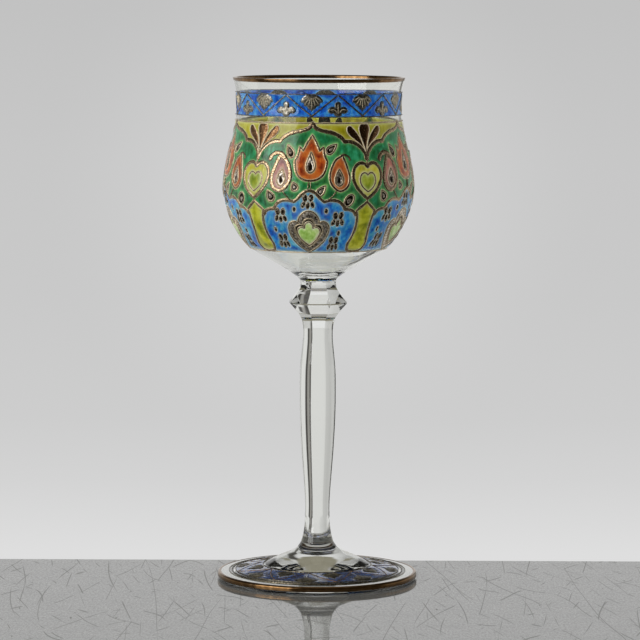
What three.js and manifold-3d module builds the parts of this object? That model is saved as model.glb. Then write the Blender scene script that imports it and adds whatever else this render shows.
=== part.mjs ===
// Enamelled and gilt wine goblet: a blown bowl on a cut, knopped stem and a wide domed foot, with an
// arcade of raised enamels between gold outlines round the bowl. Millimetres, +Z up, origin at the
// centre of the circle that the foot stands on. Angles are degrees from -Y, positive towards +X.
import * as THREE from 'three';
import { mergeVertices } from 'three/addons/utils/BufferGeometryUtils.js';
import Module from 'manifold-3d';

const wasm = await Module();
wasm.setup();

// Driving dimensions
const HEIGHT = 205;
const RIM_RADIUS = 34.85;
const FOOT_RADIUS = 40.85;
const STEM_TOP = 122.5;
const FOOT_TOP = 14;

const BOWL_SEGMENTS = 30;
const FOOT_SEGMENTS = 32;
const STEM_SIDES = 8;
const STEM_TURN = 2.6;
const REPEATS = 5;
const REPEAT_ANGLE = 360 / REPEATS;
const TULIP_ANGLE = -6;
// The painted arcade leans a little as it rises: degrees for each millimetre above LEAN_LEVEL.
const LEAN = 0.057;
const LEAN_LEVEL = 152;

// Raised layers on the glass: a hairline clearance, then the enamel's and the gold's thickness
const CLEARANCE = 0.05;
const ENAMEL_THICKNESS = 0.25;
const GOLD_THICKNESS = 0.35;
const GILDING_THICKNESS = 0.12;
// Space left between a gold line and the enamel beside it
const LINE_GAP = 0.12;

// Levels of the painted bands on the bowl
const BODY_BAND = { bottom: 136, top: 187.8 };
const NECK_BAND = { bottom: 190, top: 199 };
const LIP_BAND_HEIGHT = 1.5;

// Half widths of the gold lines
const ARCH_LINE = 0.52;
const CARTOUCHE_LINE = 0.45;
const OUTLINE = 0.38;
const LINK_LINE = 0.28;

const GLASS = { color: 0xdfe4e0, roughness: 0.04, metalness: 0, transparent: true, opacity: 0.35 };
const GOLD = { color: 0xb08d4c, roughness: 0.42, metalness: 0.9 };
const BLUE = { color: 0x2459ad, roughness: 0.22, metalness: 0 };
const DARK_BLUE = { color: 0x24407c, roughness: 0.25, metalness: 0 };
const YELLOW = { color: 0xb9b03a, roughness: 0.25, metalness: 0 };
const GREEN = { color: 0x0e5c3a, roughness: 0.2, metalness: 0 };
const RED_BROWN = { color: 0x9c3f18, roughness: 0.22, metalness: 0 };
const ORANGE_BROWN = { color: 0xa8522a, roughness: 0.24, metalness: 0 };
const OLIVE = { color: 0x9a9620, roughness: 0.24, metalness: 0 };
const OLIVE_GREEN = { color: 0x8a8c1c, roughness: 0.24, metalness: 0 };
const LEAF_GREEN = { color: 0x74b04a, roughness: 0.22, metalness: 0 };

const CORNER = true;
const degrees = THREE.MathUtils.degToRad;

// A curve through points [x, y] that turns sharply only at a point marked CORNER. A closed curve
// starts at a corner.
function curve(points, steps, closed = false) {
  const path = closed ? [...points, points[0]] : points;
  const drawn = [];
  let start = 0;
  for (let i = 1; i < path.length; i += 1) {
    if (i < path.length - 1 && !path[i][2]) continue;
    const knots = path.slice(start, i + 1).map(([x, y]) => new THREE.Vector2(x, y));
    const smooth = knots.length > 2;
    const count = smooth ? (knots.length - 1) * steps : 1;
    const run = new THREE.SplineCurve(knots).getPoints(count);
    drawn.push(...run.slice(0, -1).map((p) => [p.x, p.y]));
    start = i;
  }
  if (!closed) drawn.push(path[path.length - 1].slice(0, 2));
  return drawn;
}

// The whole outline of a form that is alike on both sides of x = 0, from the half of it on the right,
// whose first and last points lie on the middle line
function mirrored(half) {
  const left = half.slice(1, -1).reverse().map(([x, y, corner]) => [-x, y, corner]);
  return [...half, ...left];
}

// Solids and geometries

function solidOf(geometry) {
  const bare = new THREE.BufferGeometry();
  bare.setAttribute('position', geometry.getAttribute('position'));
  bare.setIndex(geometry.getIndex());
  const merged = mergeVertices(bare, 1e-4);
  const mesh = new wasm.Mesh({
    numProp: 3,
    vertProperties: merged.getAttribute('position').array,
    triVerts: new Uint32Array(merged.getIndex().array),
  });
  return new wasm.Manifold(mesh);
}

function geometryOf(solid) {
  const mesh = solid.getMesh();
  const geometry = new THREE.BufferGeometry();
  geometry.setAttribute('position', new THREE.BufferAttribute(mesh.vertProperties, 3));
  geometry.setIndex(new THREE.BufferAttribute(mesh.triVerts, 1));
  return geometry;
}

const joined = (solids) => solids.reduce((whole, solid) => whole.add(solid));
const cutBy = (solid, cutters) => cutters.reduce((rest, cutter) => rest.subtract(cutter), solid);

// A body of revolution about Z from a closed profile of [radius, height], listed anticlockwise
function revolved(profile, segments = BOWL_SEGMENTS, turn = 0) {
  const onAxis = profile[0][0] === 0;
  const outline = onAxis ? profile : [...profile, profile[0]];
  const points = outline.map(([r, z]) => new THREE.Vector2(r, z));
  const geometry = new THREE.LatheGeometry(points, segments, degrees(turn));
  return solidOf(geometry.rotateX(Math.PI / 2));
}

// Bowl

// Outer and inner radius of the glass at the levels where its curve needs a ring of facets
const BOWL_OUTSIDE = [
  [7.2, STEM_TOP], [12.2, 126.5], [19.5, 130.9], [27.6, 136], [32.7, 142], [36.6, 150], [38.6, 160.5],
  [37, 172], [34.2, 184], [33.25, 193], [33.6, 200],
  [RIM_RADIUS - GILDING_THICKNESS - CLEARANCE, HEIGHT - GILDING_THICKNESS - CLEARANCE],
];
const BOWL_INSIDE = [
  [0, 126.5], [5, 126.7], [8.6, 127.3], [11.6, 129], [18.6, 133.1], [26, 137.9], [31.4, 144], [34.8, 151],
  [36.6, 157], [36.9, 161], [36, 169], [34.1, 177], [32.7, 184.5], [32.05, 193], [32.3, 199],
  [33.65, HEIGHT - GILDING_THICKNESS - CLEARANCE],
];

function radiusAt(profile, z) {
  const above = profile.findIndex(([, level]) => level >= z);
  const [r1, z1] = profile[above];
  if (z1 === z || above === 0) return r1;
  const [r0, z0] = profile[above - 1];
  return r0 + ((r1 - r0) * (z - z0)) / (z1 - z0);
}

function bowl() {
  const inside = [...BOWL_INSIDE].reverse();
  return revolved([[0, STEM_TOP], ...BOWL_OUTSIDE, ...inside]);
}

// A thin skin that follows the outside of the bowl between two levels
function bowlSkin(bottom, top, thickness, clearance = CLEARANCE) {
  const levels = BOWL_OUTSIDE.map(([, z]) => z).filter((z) => z > bottom && z < top);
  const rows = [bottom, ...levels, top];
  const inner = rows.map((z) => [radiusAt(BOWL_OUTSIDE, z) + clearance, z]);
  const outer = rows.map((z) => [radiusAt(BOWL_OUTSIDE, z) + clearance + thickness, z]);
  return revolved([...outer, ...inner.reverse()]);
}

function lipGilding() {
  const near = CLEARANCE;
  const far = CLEARANCE + GILDING_THICKNESS;
  const bottom = HEIGHT - LIP_BAND_HEIGHT;
  const [outerTop, top] = BOWL_OUTSIDE[BOWL_OUTSIDE.length - 1];
  const [innerTop] = BOWL_INSIDE[BOWL_INSIDE.length - 1];
  const outerBottom = radiusAt(BOWL_OUTSIDE, bottom);
  const innerBottom = radiusAt(BOWL_INSIDE, bottom);
  return revolved([
    [outerBottom + far, bottom], [outerTop + far, top + far], [innerTop - far, top + far],
    [innerBottom - far, bottom], [innerBottom - near, bottom], [innerTop - near, top + near],
    [outerTop + near, top + near], [outerBottom + near, bottom],
  ]);
}

// Stem: a round drawn blank, cut to eight flats that run out in arched ends above the flared base

const STEM_BLANK = [
  [0, FOOT_TOP], [6.55, FOOT_TOP, CORNER], [5.9, 16.4], [5.4, 19.2], [5.12, 22], [5.4, 25], [5.8, 29],
  [13, 34, CORNER], [13, 118, CORNER], [8.2, STEM_TOP, CORNER], [0, STEM_TOP],
];
// Distance of the flats from the axis
const STEM_FLATS = [
  [9, FOOT_TOP - 1, CORNER], [6.3, 18.2], [5.12, 22], [4.9, 27], [5.1, 34], [5.75, 43], [6.55, 54],
  [7.12, 66], [7.25, 77], [7.05, 88], [6.4, 93.2], [5.95, 98.5], [6, 103], [6.6, 106.2], [7.9, 108.5, CORNER],
  [11.56, 112.95, CORNER], [8.8, 116.7, CORNER], [7.2, 119.6, CORNER], [7.2, STEM_TOP + 1, CORNER],
];

function stem() {
  const blank = revolved(curve(STEM_BLANK, 1), FOOT_SEGMENTS);
  const toCorner = 1 / Math.cos(Math.PI / STEM_SIDES);
  const flats = curve(STEM_FLATS, 1).map(([distance, z]) => [distance * toCorner, z]);
  const turn = STEM_TURN + 180 / STEM_SIDES;
  const cut = revolved([[0, FOOT_TOP - 1], ...flats, [0, STEM_TOP + 1]], STEM_SIDES, turn);
  return blank.intersect(cut);
}

// Foot: a dome with a ring edge on a shallow plate, hollowed below so that it stands on a flat ring

const FOOT_EDGE = FOOT_RADIUS - GILDING_THICKNESS - CLEARANCE;
const REST_RING = { inner: 36.2, outer: 40.1 };
const FOOT_PLATE = [[21.3, 4.55], [FOOT_EDGE - 0.55, 1.85]];
const FOOT_EDGE_SIDE = [[FOOT_EDGE, 1.35], [FOOT_EDGE, 0.6]];

function foot() {
  const dome = [[20.8, 5.05], [17.6, 6.75], [13.5, 8.7], [10.2, 10.2], [8, 12], [6.55, FOOT_TOP]];
  const underside = [[0, 2.6], [18, 1.8], [30, 0.7]];
  return revolved([
    ...underside, [REST_RING.inner, 0], [REST_RING.outer, 0], ...[...FOOT_EDGE_SIDE].reverse(),
    ...[...FOOT_PLATE].reverse(), ...dome, [0, FOOT_TOP],
  ], FOOT_SEGMENTS);
}

function footEdgeGilding() {
  const near = CLEARANCE;
  const far = CLEARANCE + GILDING_THICKNESS;
  const [[side, high], [, low]] = FOOT_EDGE_SIDE;
  const [, [shoulder, top]] = FOOT_PLATE;
  return revolved([
    [side + far, low], [side + far, high], [shoulder, top + far], [shoulder, top + near],
    [side + near, high], [side + near, low],
  ], FOOT_SEGMENTS);
}

const footPlateLevel = (r) => {
  const [[r0, z0], [r1, z1]] = FOOT_PLATE;
  return z0 + ((z1 - z0) * (r - r0)) / (r1 - r0);
};

function footSkin(inner, outer, low, high) {
  return revolved([
    [inner, footPlateLevel(inner) + low], [outer, footPlateLevel(outer) + low],
    [outer, footPlateLevel(outer) + high], [inner, footPlateLevel(inner) + high],
  ], FOOT_SEGMENTS);
}

// Painted forms on the bowl. They are drawn flat, as [angle, level] round the form's own middle line,
// joined and cut there, and then wrapped on to the facets of the bowl.

const FACET_ANGLE = 360 / BOWL_SEGMENTS;
const FLAT_DEPTH = 1;
const SAME_POINT = 0.002;
const STRAIGHT = 1e-5;
const area = (outline) => THREE.ShapeUtils.area(outline.map(([x, y]) => new THREE.Vector2(x, y)));

const inThrees = (list) => Array.from({ length: list.length / 3 }, (_, i) => list.slice(3 * i, 3 * i + 3));

// Whether a point lies within an outline, by the number of sides that a line from it crosses
function contains(outline, [x, y]) {
  const crossed = outline.filter(([x0, y0], i) => {
    const [x1, y1] = outline[(i + 1) % outline.length];
    return (y0 > y) !== (y1 > y) && x < x0 + ((x1 - x0) * (y - y0)) / (y1 - y0);
  });
  return crossed.length % 2 === 1;
}

function flat(outline, shift = 0) {
  const drawn = outline.map(([angle, z]) => new THREE.Vector2(angle + shift + LEAN * (z - LEAN_LEVEL), z));
  const plate = { depth: FLAT_DEPTH, bevelEnabled: false };
  return solidOf(new THREE.ExtrudeGeometry(new THREE.Shape(drawn), plate));
}

// A point above the plane of the facet that it lies on
function onFacet(angle, z, lift) {
  const fromMiddle = angle - (Math.floor(angle / FACET_ANGLE) + 0.5) * FACET_ANGLE;
  const flatness = Math.cos(degrees(FACET_ANGLE / 2)) / Math.cos(degrees(fromMiddle));
  const radius = (radiusAt(BOWL_OUTSIDE, z) + lift) * flatness;
  return [radius * Math.sin(degrees(angle)), -radius * Math.cos(degrees(angle)), z];
}

// The edges [from, to] that only one of the triangles has
function rimOf(faces) {
  const edges = new Set();
  for (const [a, b, c] of faces) {
    for (const [from, to] of [[a, b], [b, c], [c, a]]) {
      if (!edges.delete(`${to} ${from}`)) edges.add(`${from} ${to}`);
    }
  }
  return [...edges].map((edge) => edge.split(' ').map(Number));
}

// The outlines of the upper face of a flat solid: closed loops of [x, y], without points that lie on
// a straight stretch
function loopsOf(solid) {
  const { vertProperties, triVerts } = solid.getMesh();
  const corner = (v) => [0, 1, 2].map((c) => vertProperties[3 * v + c]);
  const faces = inThrees([...triVerts]);
  const upper = faces.filter((face) => face.every((v) => corner(v)[2] > FLAT_DEPTH / 2));
  const next = new Map(rimOf(upper));
  const loops = [];
  while (next.size > 0) {
    const loop = [];
    let [at] = next.keys();
    while (next.has(at)) {
      const after = next.get(at);
      next.delete(at);
      loop.push(corner(at).slice(0, 2));
      at = after;
    }
    loops.push(loop.filter((point, i) => {
      const before = loop[(i + loop.length - 1) % loop.length];
      const after = loop[(i + 1) % loop.length];
      return Math.abs(area([before, point, after])) > STRAIGHT;
    }));
  }
  return loops.filter((loop) => loop.length > 2);
}

// The corners of the triangles that fill the part of a flat drawing within one facet
function withinFacet(drawing, column, bottom, top) {
  const cell = new THREE.BoxGeometry(FACET_ANGLE, top - bottom, 3 * FLAT_DEPTH);
  cell.translate((column + 0.5) * FACET_ANGLE - TULIP_ANGLE, (bottom + top) / 2, 0);
  const loops = loopsOf(drawing.intersect(solidOf(cell)));
  const holes = loops.filter((loop) => area(loop) < 0);
  return loops.filter((loop) => area(loop) > 0).flatMap((outline) => {
    const all = [outline, ...holes.filter((loop) => contains(outline, loop[0]))];
    const [shape, ...gaps] = all.map((loop) => loop.map(([x, y]) => new THREE.Vector2(x, y)));
    return THREE.ShapeUtils.triangulateShape(shape, gaps).flat().map((i) => all.flat()[i]);
  });
}

// The flat drawing cut along the edges of the facets, as triangles of [angle from -Y, level]
function alongFacets(drawing) {
  const extent = new THREE.Box3().setFromBufferAttribute(geometryOf(drawing).getAttribute('position'));
  const first = Math.floor((extent.min.x + TULIP_ANGLE) / FACET_ANGLE);
  const end = (extent.max.x + TULIP_ANGLE) / FACET_ANGLE;
  const levels = BOWL_OUTSIDE.map(([, z]) => z);
  const corners = [];
  for (let column = first; column < end; column += 1) {
    for (let row = 1; row < levels.length; row += 1) {
      if (levels[row] <= extent.min.y || levels[row - 1] >= extent.max.y) continue;
      corners.push(...withinFacet(drawing, column, levels[row - 1], levels[row]));
    }
  }
  return corners.map(([x, y]) => [x + TULIP_ANGLE, y]);
}

// A plate of even thickness that lies on the facets, from a flat drawing
function wrapped(drawing, { low, high }) {
  const points = [];
  const near = (a, b) => Math.abs(a[0] - b[0]) < SAME_POINT && Math.abs(a[1] - b[1]) < SAME_POINT;
  const index = alongFacets(drawing).map((corner) => {
    const known = points.findIndex((point) => near(point, corner));
    return known < 0 ? points.push(corner) - 1 : known;
  });
  const n = points.length;
  const faces = inThrees(index).filter(([a, b, c]) => a !== b && b !== c && c !== a);
  const upper = faces.flatMap(([a, b, c]) => [n + a, n + b, n + c]);
  const lower = faces.flatMap(([a, b, c]) => [a, c, b]);
  const sides = rimOf(faces).flatMap(([from, to]) => [n + to, n + from, from, n + to, from, to]);
  const geometry = new THREE.BufferGeometry();
  const positions = [low, high].flatMap((lift) => points.flatMap(([angle, z]) => onFacet(angle, z, lift)));
  geometry.setAttribute('position', new THREE.Float32BufferAttribute(positions, 3));
  geometry.setIndex([...upper, ...lower, ...sides]);
  return solidOf(geometry);
}

// The points moved sideways by a distance on the surface, to the right of the way they are listed.
// A degree is as long as degreeLength says at a point's second coordinate.
function moved(points, distance, closed, degreeLength = bowlDegree) {
  const n = points.length;
  const side = (p, q, scale) => {
    const along = new THREE.Vector2((q[0] - p[0]) * scale, q[1] - p[1]).normalize();
    return new THREE.Vector2(along.y, -along.x);
  };
  return points.map((point, i) => {
    const scale = degreeLength(point[1]);
    const before = points[closed ? (i + n - 1) % n : Math.max(i - 1, 0)];
    const after = points[closed ? (i + 1) % n : Math.min(i + 1, n - 1)];
    const first = before === point ? side(point, after, scale) : side(before, point, scale);
    const second = after === point ? first : side(point, after, scale);
    const middle = first.clone().add(second).normalize();
    const reach = (Array.isArray(distance) ? distance[i] : distance) / Math.max(middle.dot(first), 0.45);
    return [point[0] + (middle.x * reach) / scale, point[1] + middle.y * reach];
  });
}

const bowlDegree = (z) => degrees(1) * radiusAt(BOWL_OUTSIDE, z);
const onBowl = ([angle, z], lift) => {
  const radius = radiusAt(BOWL_OUTSIDE, z) + lift;
  return [radius * Math.sin(degrees(angle)), -radius * Math.cos(degrees(angle)), z];
};

// A raised line round a closed path, as a strip between two lifts above the surface
function strip(path, halfWidth, { low, high }, place, degreeLength) {
  const right = moved(path, halfWidth, true, degreeLength);
  const left = moved(path, -halfWidth, true, degreeLength);
  const positions = path.flatMap((_, i) => {
    return [place(left[i], low), place(right[i], low), place(right[i], high), place(left[i], high)];
  });
  const rings = path.length;
  const indices = [];
  for (let i = 0; i < rings; i += 1) {
    const next = 4 * ((i + 1) % rings);
    for (let k = 0; k < 4; k += 1) {
      const after = (k + 1) % 4;
      indices.push(4 * i + k, next + k, next + after, 4 * i + k, next + after, 4 * i + after);
    }
  }
  const geometry = new THREE.BufferGeometry();
  geometry.setAttribute('position', new THREE.Float32BufferAttribute(positions.flat(), 3));
  geometry.setIndex(indices);
  return solidOf(geometry);
}

const anticlockwise = (outline) => (area(outline) > 0 ? outline : [...outline].reverse());
// A line along an open path, with a half width that is one number or one for each point
const ribbon = (path, halfWidth) => {
  const across = path.map((_, i) => (Array.isArray(halfWidth) ? halfWidth[i] : halfWidth));
  return [...moved(path, across, false), ...moved(path, across.map((half) => -half), false).reverse()];
};
const grown = (outline, distance) => moved(anticlockwise(outline), distance, true);

const ARCH_HALF = [
  [0, 187.5], [3, 185.3], [12, 184.1], [19, 182], [21.4, 180.2, CORNER], [27.4, 180], [33, 177.4],
  [36, 172.5],
];
const CARTOUCHE_HALF = [
  [0, 161.2], [4.2, 160], [9.2, 156.8, CORNER], [16.4, 157.2], [22, 153.8, CORNER], [27.4, 153],
  [29.9, 150.7],
];
const TULIP_HALF = [
  [0, 183, CORNER], [5.3, 176.8, CORNER], [7.7, 178.2, CORNER], [8.6, 174.6], [10, 172, CORNER],
  [8.6, 168.3], [5, 165.8], [0, 165.1],
];
const BOTEH_RIGHT = [
  [19.4, 174.8, CORNER], [22.8, 170.2], [23.9, 165.2], [20.4, 161.4], [15, 161.8], [11.9, 166],
  [13.9, 171.4],
];
const HEART_HALF = [
  [0, 170.4, CORNER], [4, 172], [8.8, 169.8], [9.4, 165.4], [5.6, 161.2], [0, 157.9, CORNER],
];
const VASE_HALF = [
  [0, 156.6, CORNER], [6.4, 153.2, CORNER], [5.1, 146.6], [7.4, 139.4], [4.6, 136.5, CORNER], [0, 136.5],
];
const MEDALLION_HALF = [
  [0, 152.8, CORNER], [6.2, 149.4, CORNER], [11.2, 148], [12.2, 144.4], [8, 140.3], [0, 137, CORNER],
];
const LEAF_HALF = [
  [0, 149, CORNER], [3.1, 146.2, CORNER], [6.8, 145.8], [5.6, 142.2], [0, 139.3, CORNER],
];

const whole = (half) => curve(mirrored(half), 1, true);
const otherSide = (points) => points.map(([x, y, corner]) => [-x, y, corner]);
const shifted = (outline, angle) => outline.map(([x, y, corner]) => [x + angle, y, corner]);
const bothHalves = (half) => [...otherSide(half).reverse(), ...half.slice(1)];

const HEART_ANGLE = REPEAT_ANGLE / 2;
const tulip = whole(TULIP_HALF);
const botehRight = curve(BOTEH_RIGHT, 1, true);
const botehLeft = curve(otherSide(BOTEH_RIGHT), 1, true);
const heart = whole(HEART_HALF);
const vase = whole(VASE_HALF);
const medallion = whole(MEDALLION_HALF);
const leaf = whole(LEAF_HALF);
const arch = bothHalves(ARCH_HALF);
const cartouche = bothHalves(CARTOUCHE_HALF);

// Half the width of the thick band of gold round the medallion's leaf
const MEDALLION_BAND = 0.95;

// The palmette above each heart: leaves as [angle, level] along the rib and half widths
const PALMETTE = [
  { rib: [[0, 170.1], [0, 180.4]], width: [0.3, 0.3] },
  { rib: [[0, 179.6], [0, 184.6], [0, 186.9]], width: [0.4, 1.6, 1.2] },
  { rib: [[0.3, 180], [6, 182], [12.4, 185.6]], width: [0.3, 1.1, 0.2] },
  { rib: [[-0.3, 180], [-6, 182], [-12.4, 185.6]], width: [0.3, 1.1, 0.2] },
];
const HEART_LINK = [[0, 155.8], [0, 158.6]];

const outlined = (outline, shift, halfWidth) => {
  return flat(grown(outline, halfWidth), shift).subtract(flat(grown(outline, -halfWidth), shift));
};

// The gold lines of one repeat, whose tulip stands at an angle
function goldLines(tulipAngle) {
  const heartAngle = tulipAngle + HEART_ANGLE;
  return joined([
    flat(ribbon(arch, ARCH_LINE), tulipAngle),
    flat(ribbon(cartouche, CARTOUCHE_LINE), tulipAngle),
    outlined(heart, heartAngle, OUTLINE),
    outlined(vase, heartAngle, OUTLINE),
    flat(ribbon(HEART_LINK, LINK_LINE), heartAngle),
    ...PALMETTE.map(({ rib, width }) => flat(ribbon(rib, width), heartAngle)),
  ]);
}

const inGold = (drawing) => wrapped(drawing, { low: CLEARANCE, high: CLEARANCE + GOLD_THICKNESS });

function arcadeGilding() {
  return inGold(joined(Array.from({ length: REPEATS }, (_, k) => goldLines(k * REPEAT_ANGLE))));
}

const medallionGilding = () => inGold(outlined(medallion, 0, MEDALLION_BAND));

// Enamel fields

const field = (drawing) => wrapped(drawing, { low: CLEARANCE, high: CLEARANCE + ENAMEL_THICKNESS });
const inside = (outline, shift = 0) => flat(grown(outline, -OUTLINE - LINE_GAP), shift);
const hole = (outline, shift = 0, halfWidth = OUTLINE) => flat(grown(outline, halfWidth + LINE_GAP), shift);
const sideHoles = (outline) => [hole(outline, HEART_ANGLE), hole(outline, -HEART_ANGLE)];

function greenField() {
  const below = moved(arch, ARCH_LINE + LINE_GAP, false);
  const above = moved(cartouche, -CARTOUCHE_LINE - LINE_GAP, false);
  const edge = HEART_ANGLE - (LINK_LINE + LINE_GAP) / bowlDegree(165);
  const outline = [...below, ...above.reverse()].map(([x, y]) => [THREE.MathUtils.clamp(x, -edge, edge), y]);
  return cutBy(flat(outline), [
    ...[tulip, botehRight, botehLeft].map((form) => hole(form)), ...sideHoles(heart), ...sideHoles(vase),
  ]);
}

function yellowSpandrel() {
  const edge = moved(shifted(ARCH_HALF, -HEART_ANGLE), -ARCH_LINE - LINE_GAP, false).slice(0, -1);
  const outline = [...edge, ...otherSide(edge).reverse()].map(([x, y]) => [x, Math.min(y, BODY_BAND.top)]);
  const leaves = PALMETTE.map(({ rib, width }) => {
    return flat(ribbon(rib, width.map((half) => half + LINE_GAP)), HEART_ANGLE);
  });
  return cutBy(flat(outline, HEART_ANGLE), leaves);
}

function blueCartouche() {
  const below = moved(cartouche, CARTOUCHE_LINE + LINE_GAP, false);
  const outline = [...below, [HEART_ANGLE - 3, BODY_BAND.bottom], [3 - HEART_ANGLE, BODY_BAND.bottom]];
  return cutBy(flat(outline), [hole(medallion, 0, MEDALLION_BAND), ...sideHoles(vase)]);
}

// Neck band: a gold zigzag between borders on a ring of blue enamel

const ZIGZAGS = 10;
const ZIGZAG_LINE = 0.3;
const NECK_ANGLE = TULIP_ANGLE + 1.2;
const ON_ENAMEL = { low: ENAMEL_THICKNESS + 2 * CLEARANCE, high: GOLD_THICKNESS + 2 * CLEARANCE };

// A closed zigzag of [angle, level], with pieces in each leg so that it follows the round
function zigzag(count, start, low, high, pieces) {
  const legs = 2 * count;
  return Array.from({ length: legs * pieces }, (_, i) => {
    const leg = i / pieces;
    const rise = Math.abs((leg % 2) - 1);
    return [start + (leg * 360) / legs, high + (low - high) * rise];
  });
}

function neckGilding() {
  const { bottom, top } = NECK_BAND;
  const path = zigzag(ZIGZAGS, NECK_ANGLE, bottom + 0.4, top - 0.4, 3)
    .map(([angle, z]) => [angle - LEAN * (z - LEAN_LEVEL), z]);
  return strip(path, ZIGZAG_LINE, ON_ENAMEL, onBowl, bowlDegree);
}

// Foot band

const FOOT_BAND = { inner: 22.2, outer: 33.4 };
const FOOT_ZIGZAGS = 8;
const FOOT_ANGLE = 14 - 180 / FOOT_ZIGZAGS;
const onFoot = ([angle, r], lift) => {
  return [-r * Math.sin(degrees(angle)), -r * Math.cos(degrees(angle)), footPlateLevel(r) + lift];
};

function footGilding() {
  const { inner, outer } = FOOT_BAND;
  const path = zigzag(FOOT_ZIGZAGS, -FOOT_ANGLE, inner + 0.4, outer - 0.4, 2);
  return strip(path, 0.4, ON_ENAMEL, onFoot, (r) => degrees(1) * r);
}

// Assembly

const group = new THREE.Group();
group.name = 'goblet';

function piece(name, solid, look, parent = group) {
  const geometry = geometryOf(solid);
  const mesh = new THREE.Mesh(geometry, new THREE.MeshStandardMaterial(look));
  mesh.name = name;
  parent.add(mesh);
}

piece('bowl', bowl(), GLASS);
piece('stem', stem(), GLASS);
piece('foot', foot(), GLASS);
piece('lip_gilding', lipGilding(), GOLD);
piece('foot_edge_gilding', footEdgeGilding(), GOLD);
piece('neck_band_enamel', bowlSkin(NECK_BAND.bottom, NECK_BAND.top, ENAMEL_THICKNESS), BLUE);
piece('neck_band_gilding', neckGilding(), GOLD);
piece('foot_band_enamel', footSkin(FOOT_BAND.inner, FOOT_BAND.outer, CLEARANCE, CLEARANCE + ENAMEL_THICKNESS),
  DARK_BLUE);
piece('foot_band_gilding', footGilding(), GOLD);
piece('arcade_gilding', arcadeGilding(), GOLD);

const repeated = [
  ['spandrel_yellow', field(yellowSpandrel()), YELLOW],
  ['field_green', field(greenField()), GREEN],
  ['tulip', field(inside(tulip)), RED_BROWN],
  ['boteh_left', field(inside(botehLeft)), ORANGE_BROWN],
  ['boteh_right', field(inside(botehRight)), ORANGE_BROWN],
  ['heart', field(inside(heart, HEART_ANGLE)), OLIVE],
  ['vase_stem', field(inside(vase, HEART_ANGLE)), OLIVE_GREEN],
  ['cartouche_blue', field(blueCartouche()), BLUE],
  ['medallion_gilding', medallionGilding(), GOLD],
  ['medallion_leaf', field(flat(leaf)), LEAF_GREEN],
];
for (let k = 0; k < REPEATS; k += 1) {
  const repeat = new THREE.Group();
  repeat.rotation.z = degrees(k * REPEAT_ANGLE);
  group.add(repeat);
  for (const [name, solid, look] of repeated) piece(`${name}_${k + 1}`, solid, look, repeat);
}

export default group;
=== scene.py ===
"""Enamelled and gilt goblet of clear glass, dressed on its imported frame.

Lengths in the tables below are millimetres and angles are degrees from -Y, positive towards +X.
MM turns them into the scene's metres.
"""
import math

import bpy
import numpy as np
from mathutils import Matrix, Vector, kdtree, noise
from mathutils.geometry import delaunay_2d_cdt

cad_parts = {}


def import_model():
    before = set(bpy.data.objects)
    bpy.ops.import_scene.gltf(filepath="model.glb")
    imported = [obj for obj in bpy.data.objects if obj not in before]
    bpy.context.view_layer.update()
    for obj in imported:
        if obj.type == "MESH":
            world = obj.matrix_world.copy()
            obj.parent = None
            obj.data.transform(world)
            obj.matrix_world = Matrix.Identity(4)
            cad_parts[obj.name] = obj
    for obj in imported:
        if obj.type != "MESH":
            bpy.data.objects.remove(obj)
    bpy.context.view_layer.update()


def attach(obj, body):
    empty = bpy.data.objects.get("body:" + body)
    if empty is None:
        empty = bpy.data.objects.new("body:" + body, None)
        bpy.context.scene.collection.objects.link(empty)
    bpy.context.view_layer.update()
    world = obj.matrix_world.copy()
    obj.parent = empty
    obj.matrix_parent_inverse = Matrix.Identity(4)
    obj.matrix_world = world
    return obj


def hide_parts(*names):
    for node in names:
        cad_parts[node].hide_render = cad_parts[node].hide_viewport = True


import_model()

MM = 0.001
CORNER = True

# Driving sizes
HEIGHT = 205.0
LIP_HEIGHT = 1.5
GILDING = 0.1
REPEATS = 5
REPEAT_ANGLE = 360 / REPEATS
HEART_ANGLE = REPEAT_ANGLE / 2
TULIP_ANGLE = -6.0
FUSED = 0.02
LEAN = 0.057
LEAN_LEVEL = 152.0
STEM_SIDES = 8
STEM_TURN = 2.6
FACET_BULGE = 0.026

# Profiles of the glass as (radius, height)
BOWL_OUTSIDE = [
    (7.2, 122.5), (8.6, 123.9), (12.3, 126.5), (19.6, 130.9), (27.7, 136), (32.9, 142.5), (36.2, 149.1),
    (38, 155.8), (38.6, 160.5), (38.2, 165.4), (36.3, 175.2), (34.5, 181.8), (33.6, 188.3), (33.2, 195),
    (33.45, 199), (34.85, 204.6),
]
BOWL_INSIDE = [
    (0, 126.5), (5, 126.7), (8.6, 127.3), (11.6, 129), (18.6, 133.1), (26, 137.9), (31.4, 144), (34.8, 151),
    (36.6, 157), (36.9, 161), (36, 169), (34.25, 177), (32.75, 184.5), (32.05, 193), (32.3, 199), (33.65, 204.6),
]
LIP = [(34.8, 204.78), (34.58, 204.88), (34.25, 204.9), (33.95, 204.86), (33.76, 204.76)]
STEM_BLANK = [(6.55, 15.1), (5.9, 17.5), (5.4, 20.3), (5.12, 23), (5.4, 26), (5.9, 30), (13, 35)]
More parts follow.
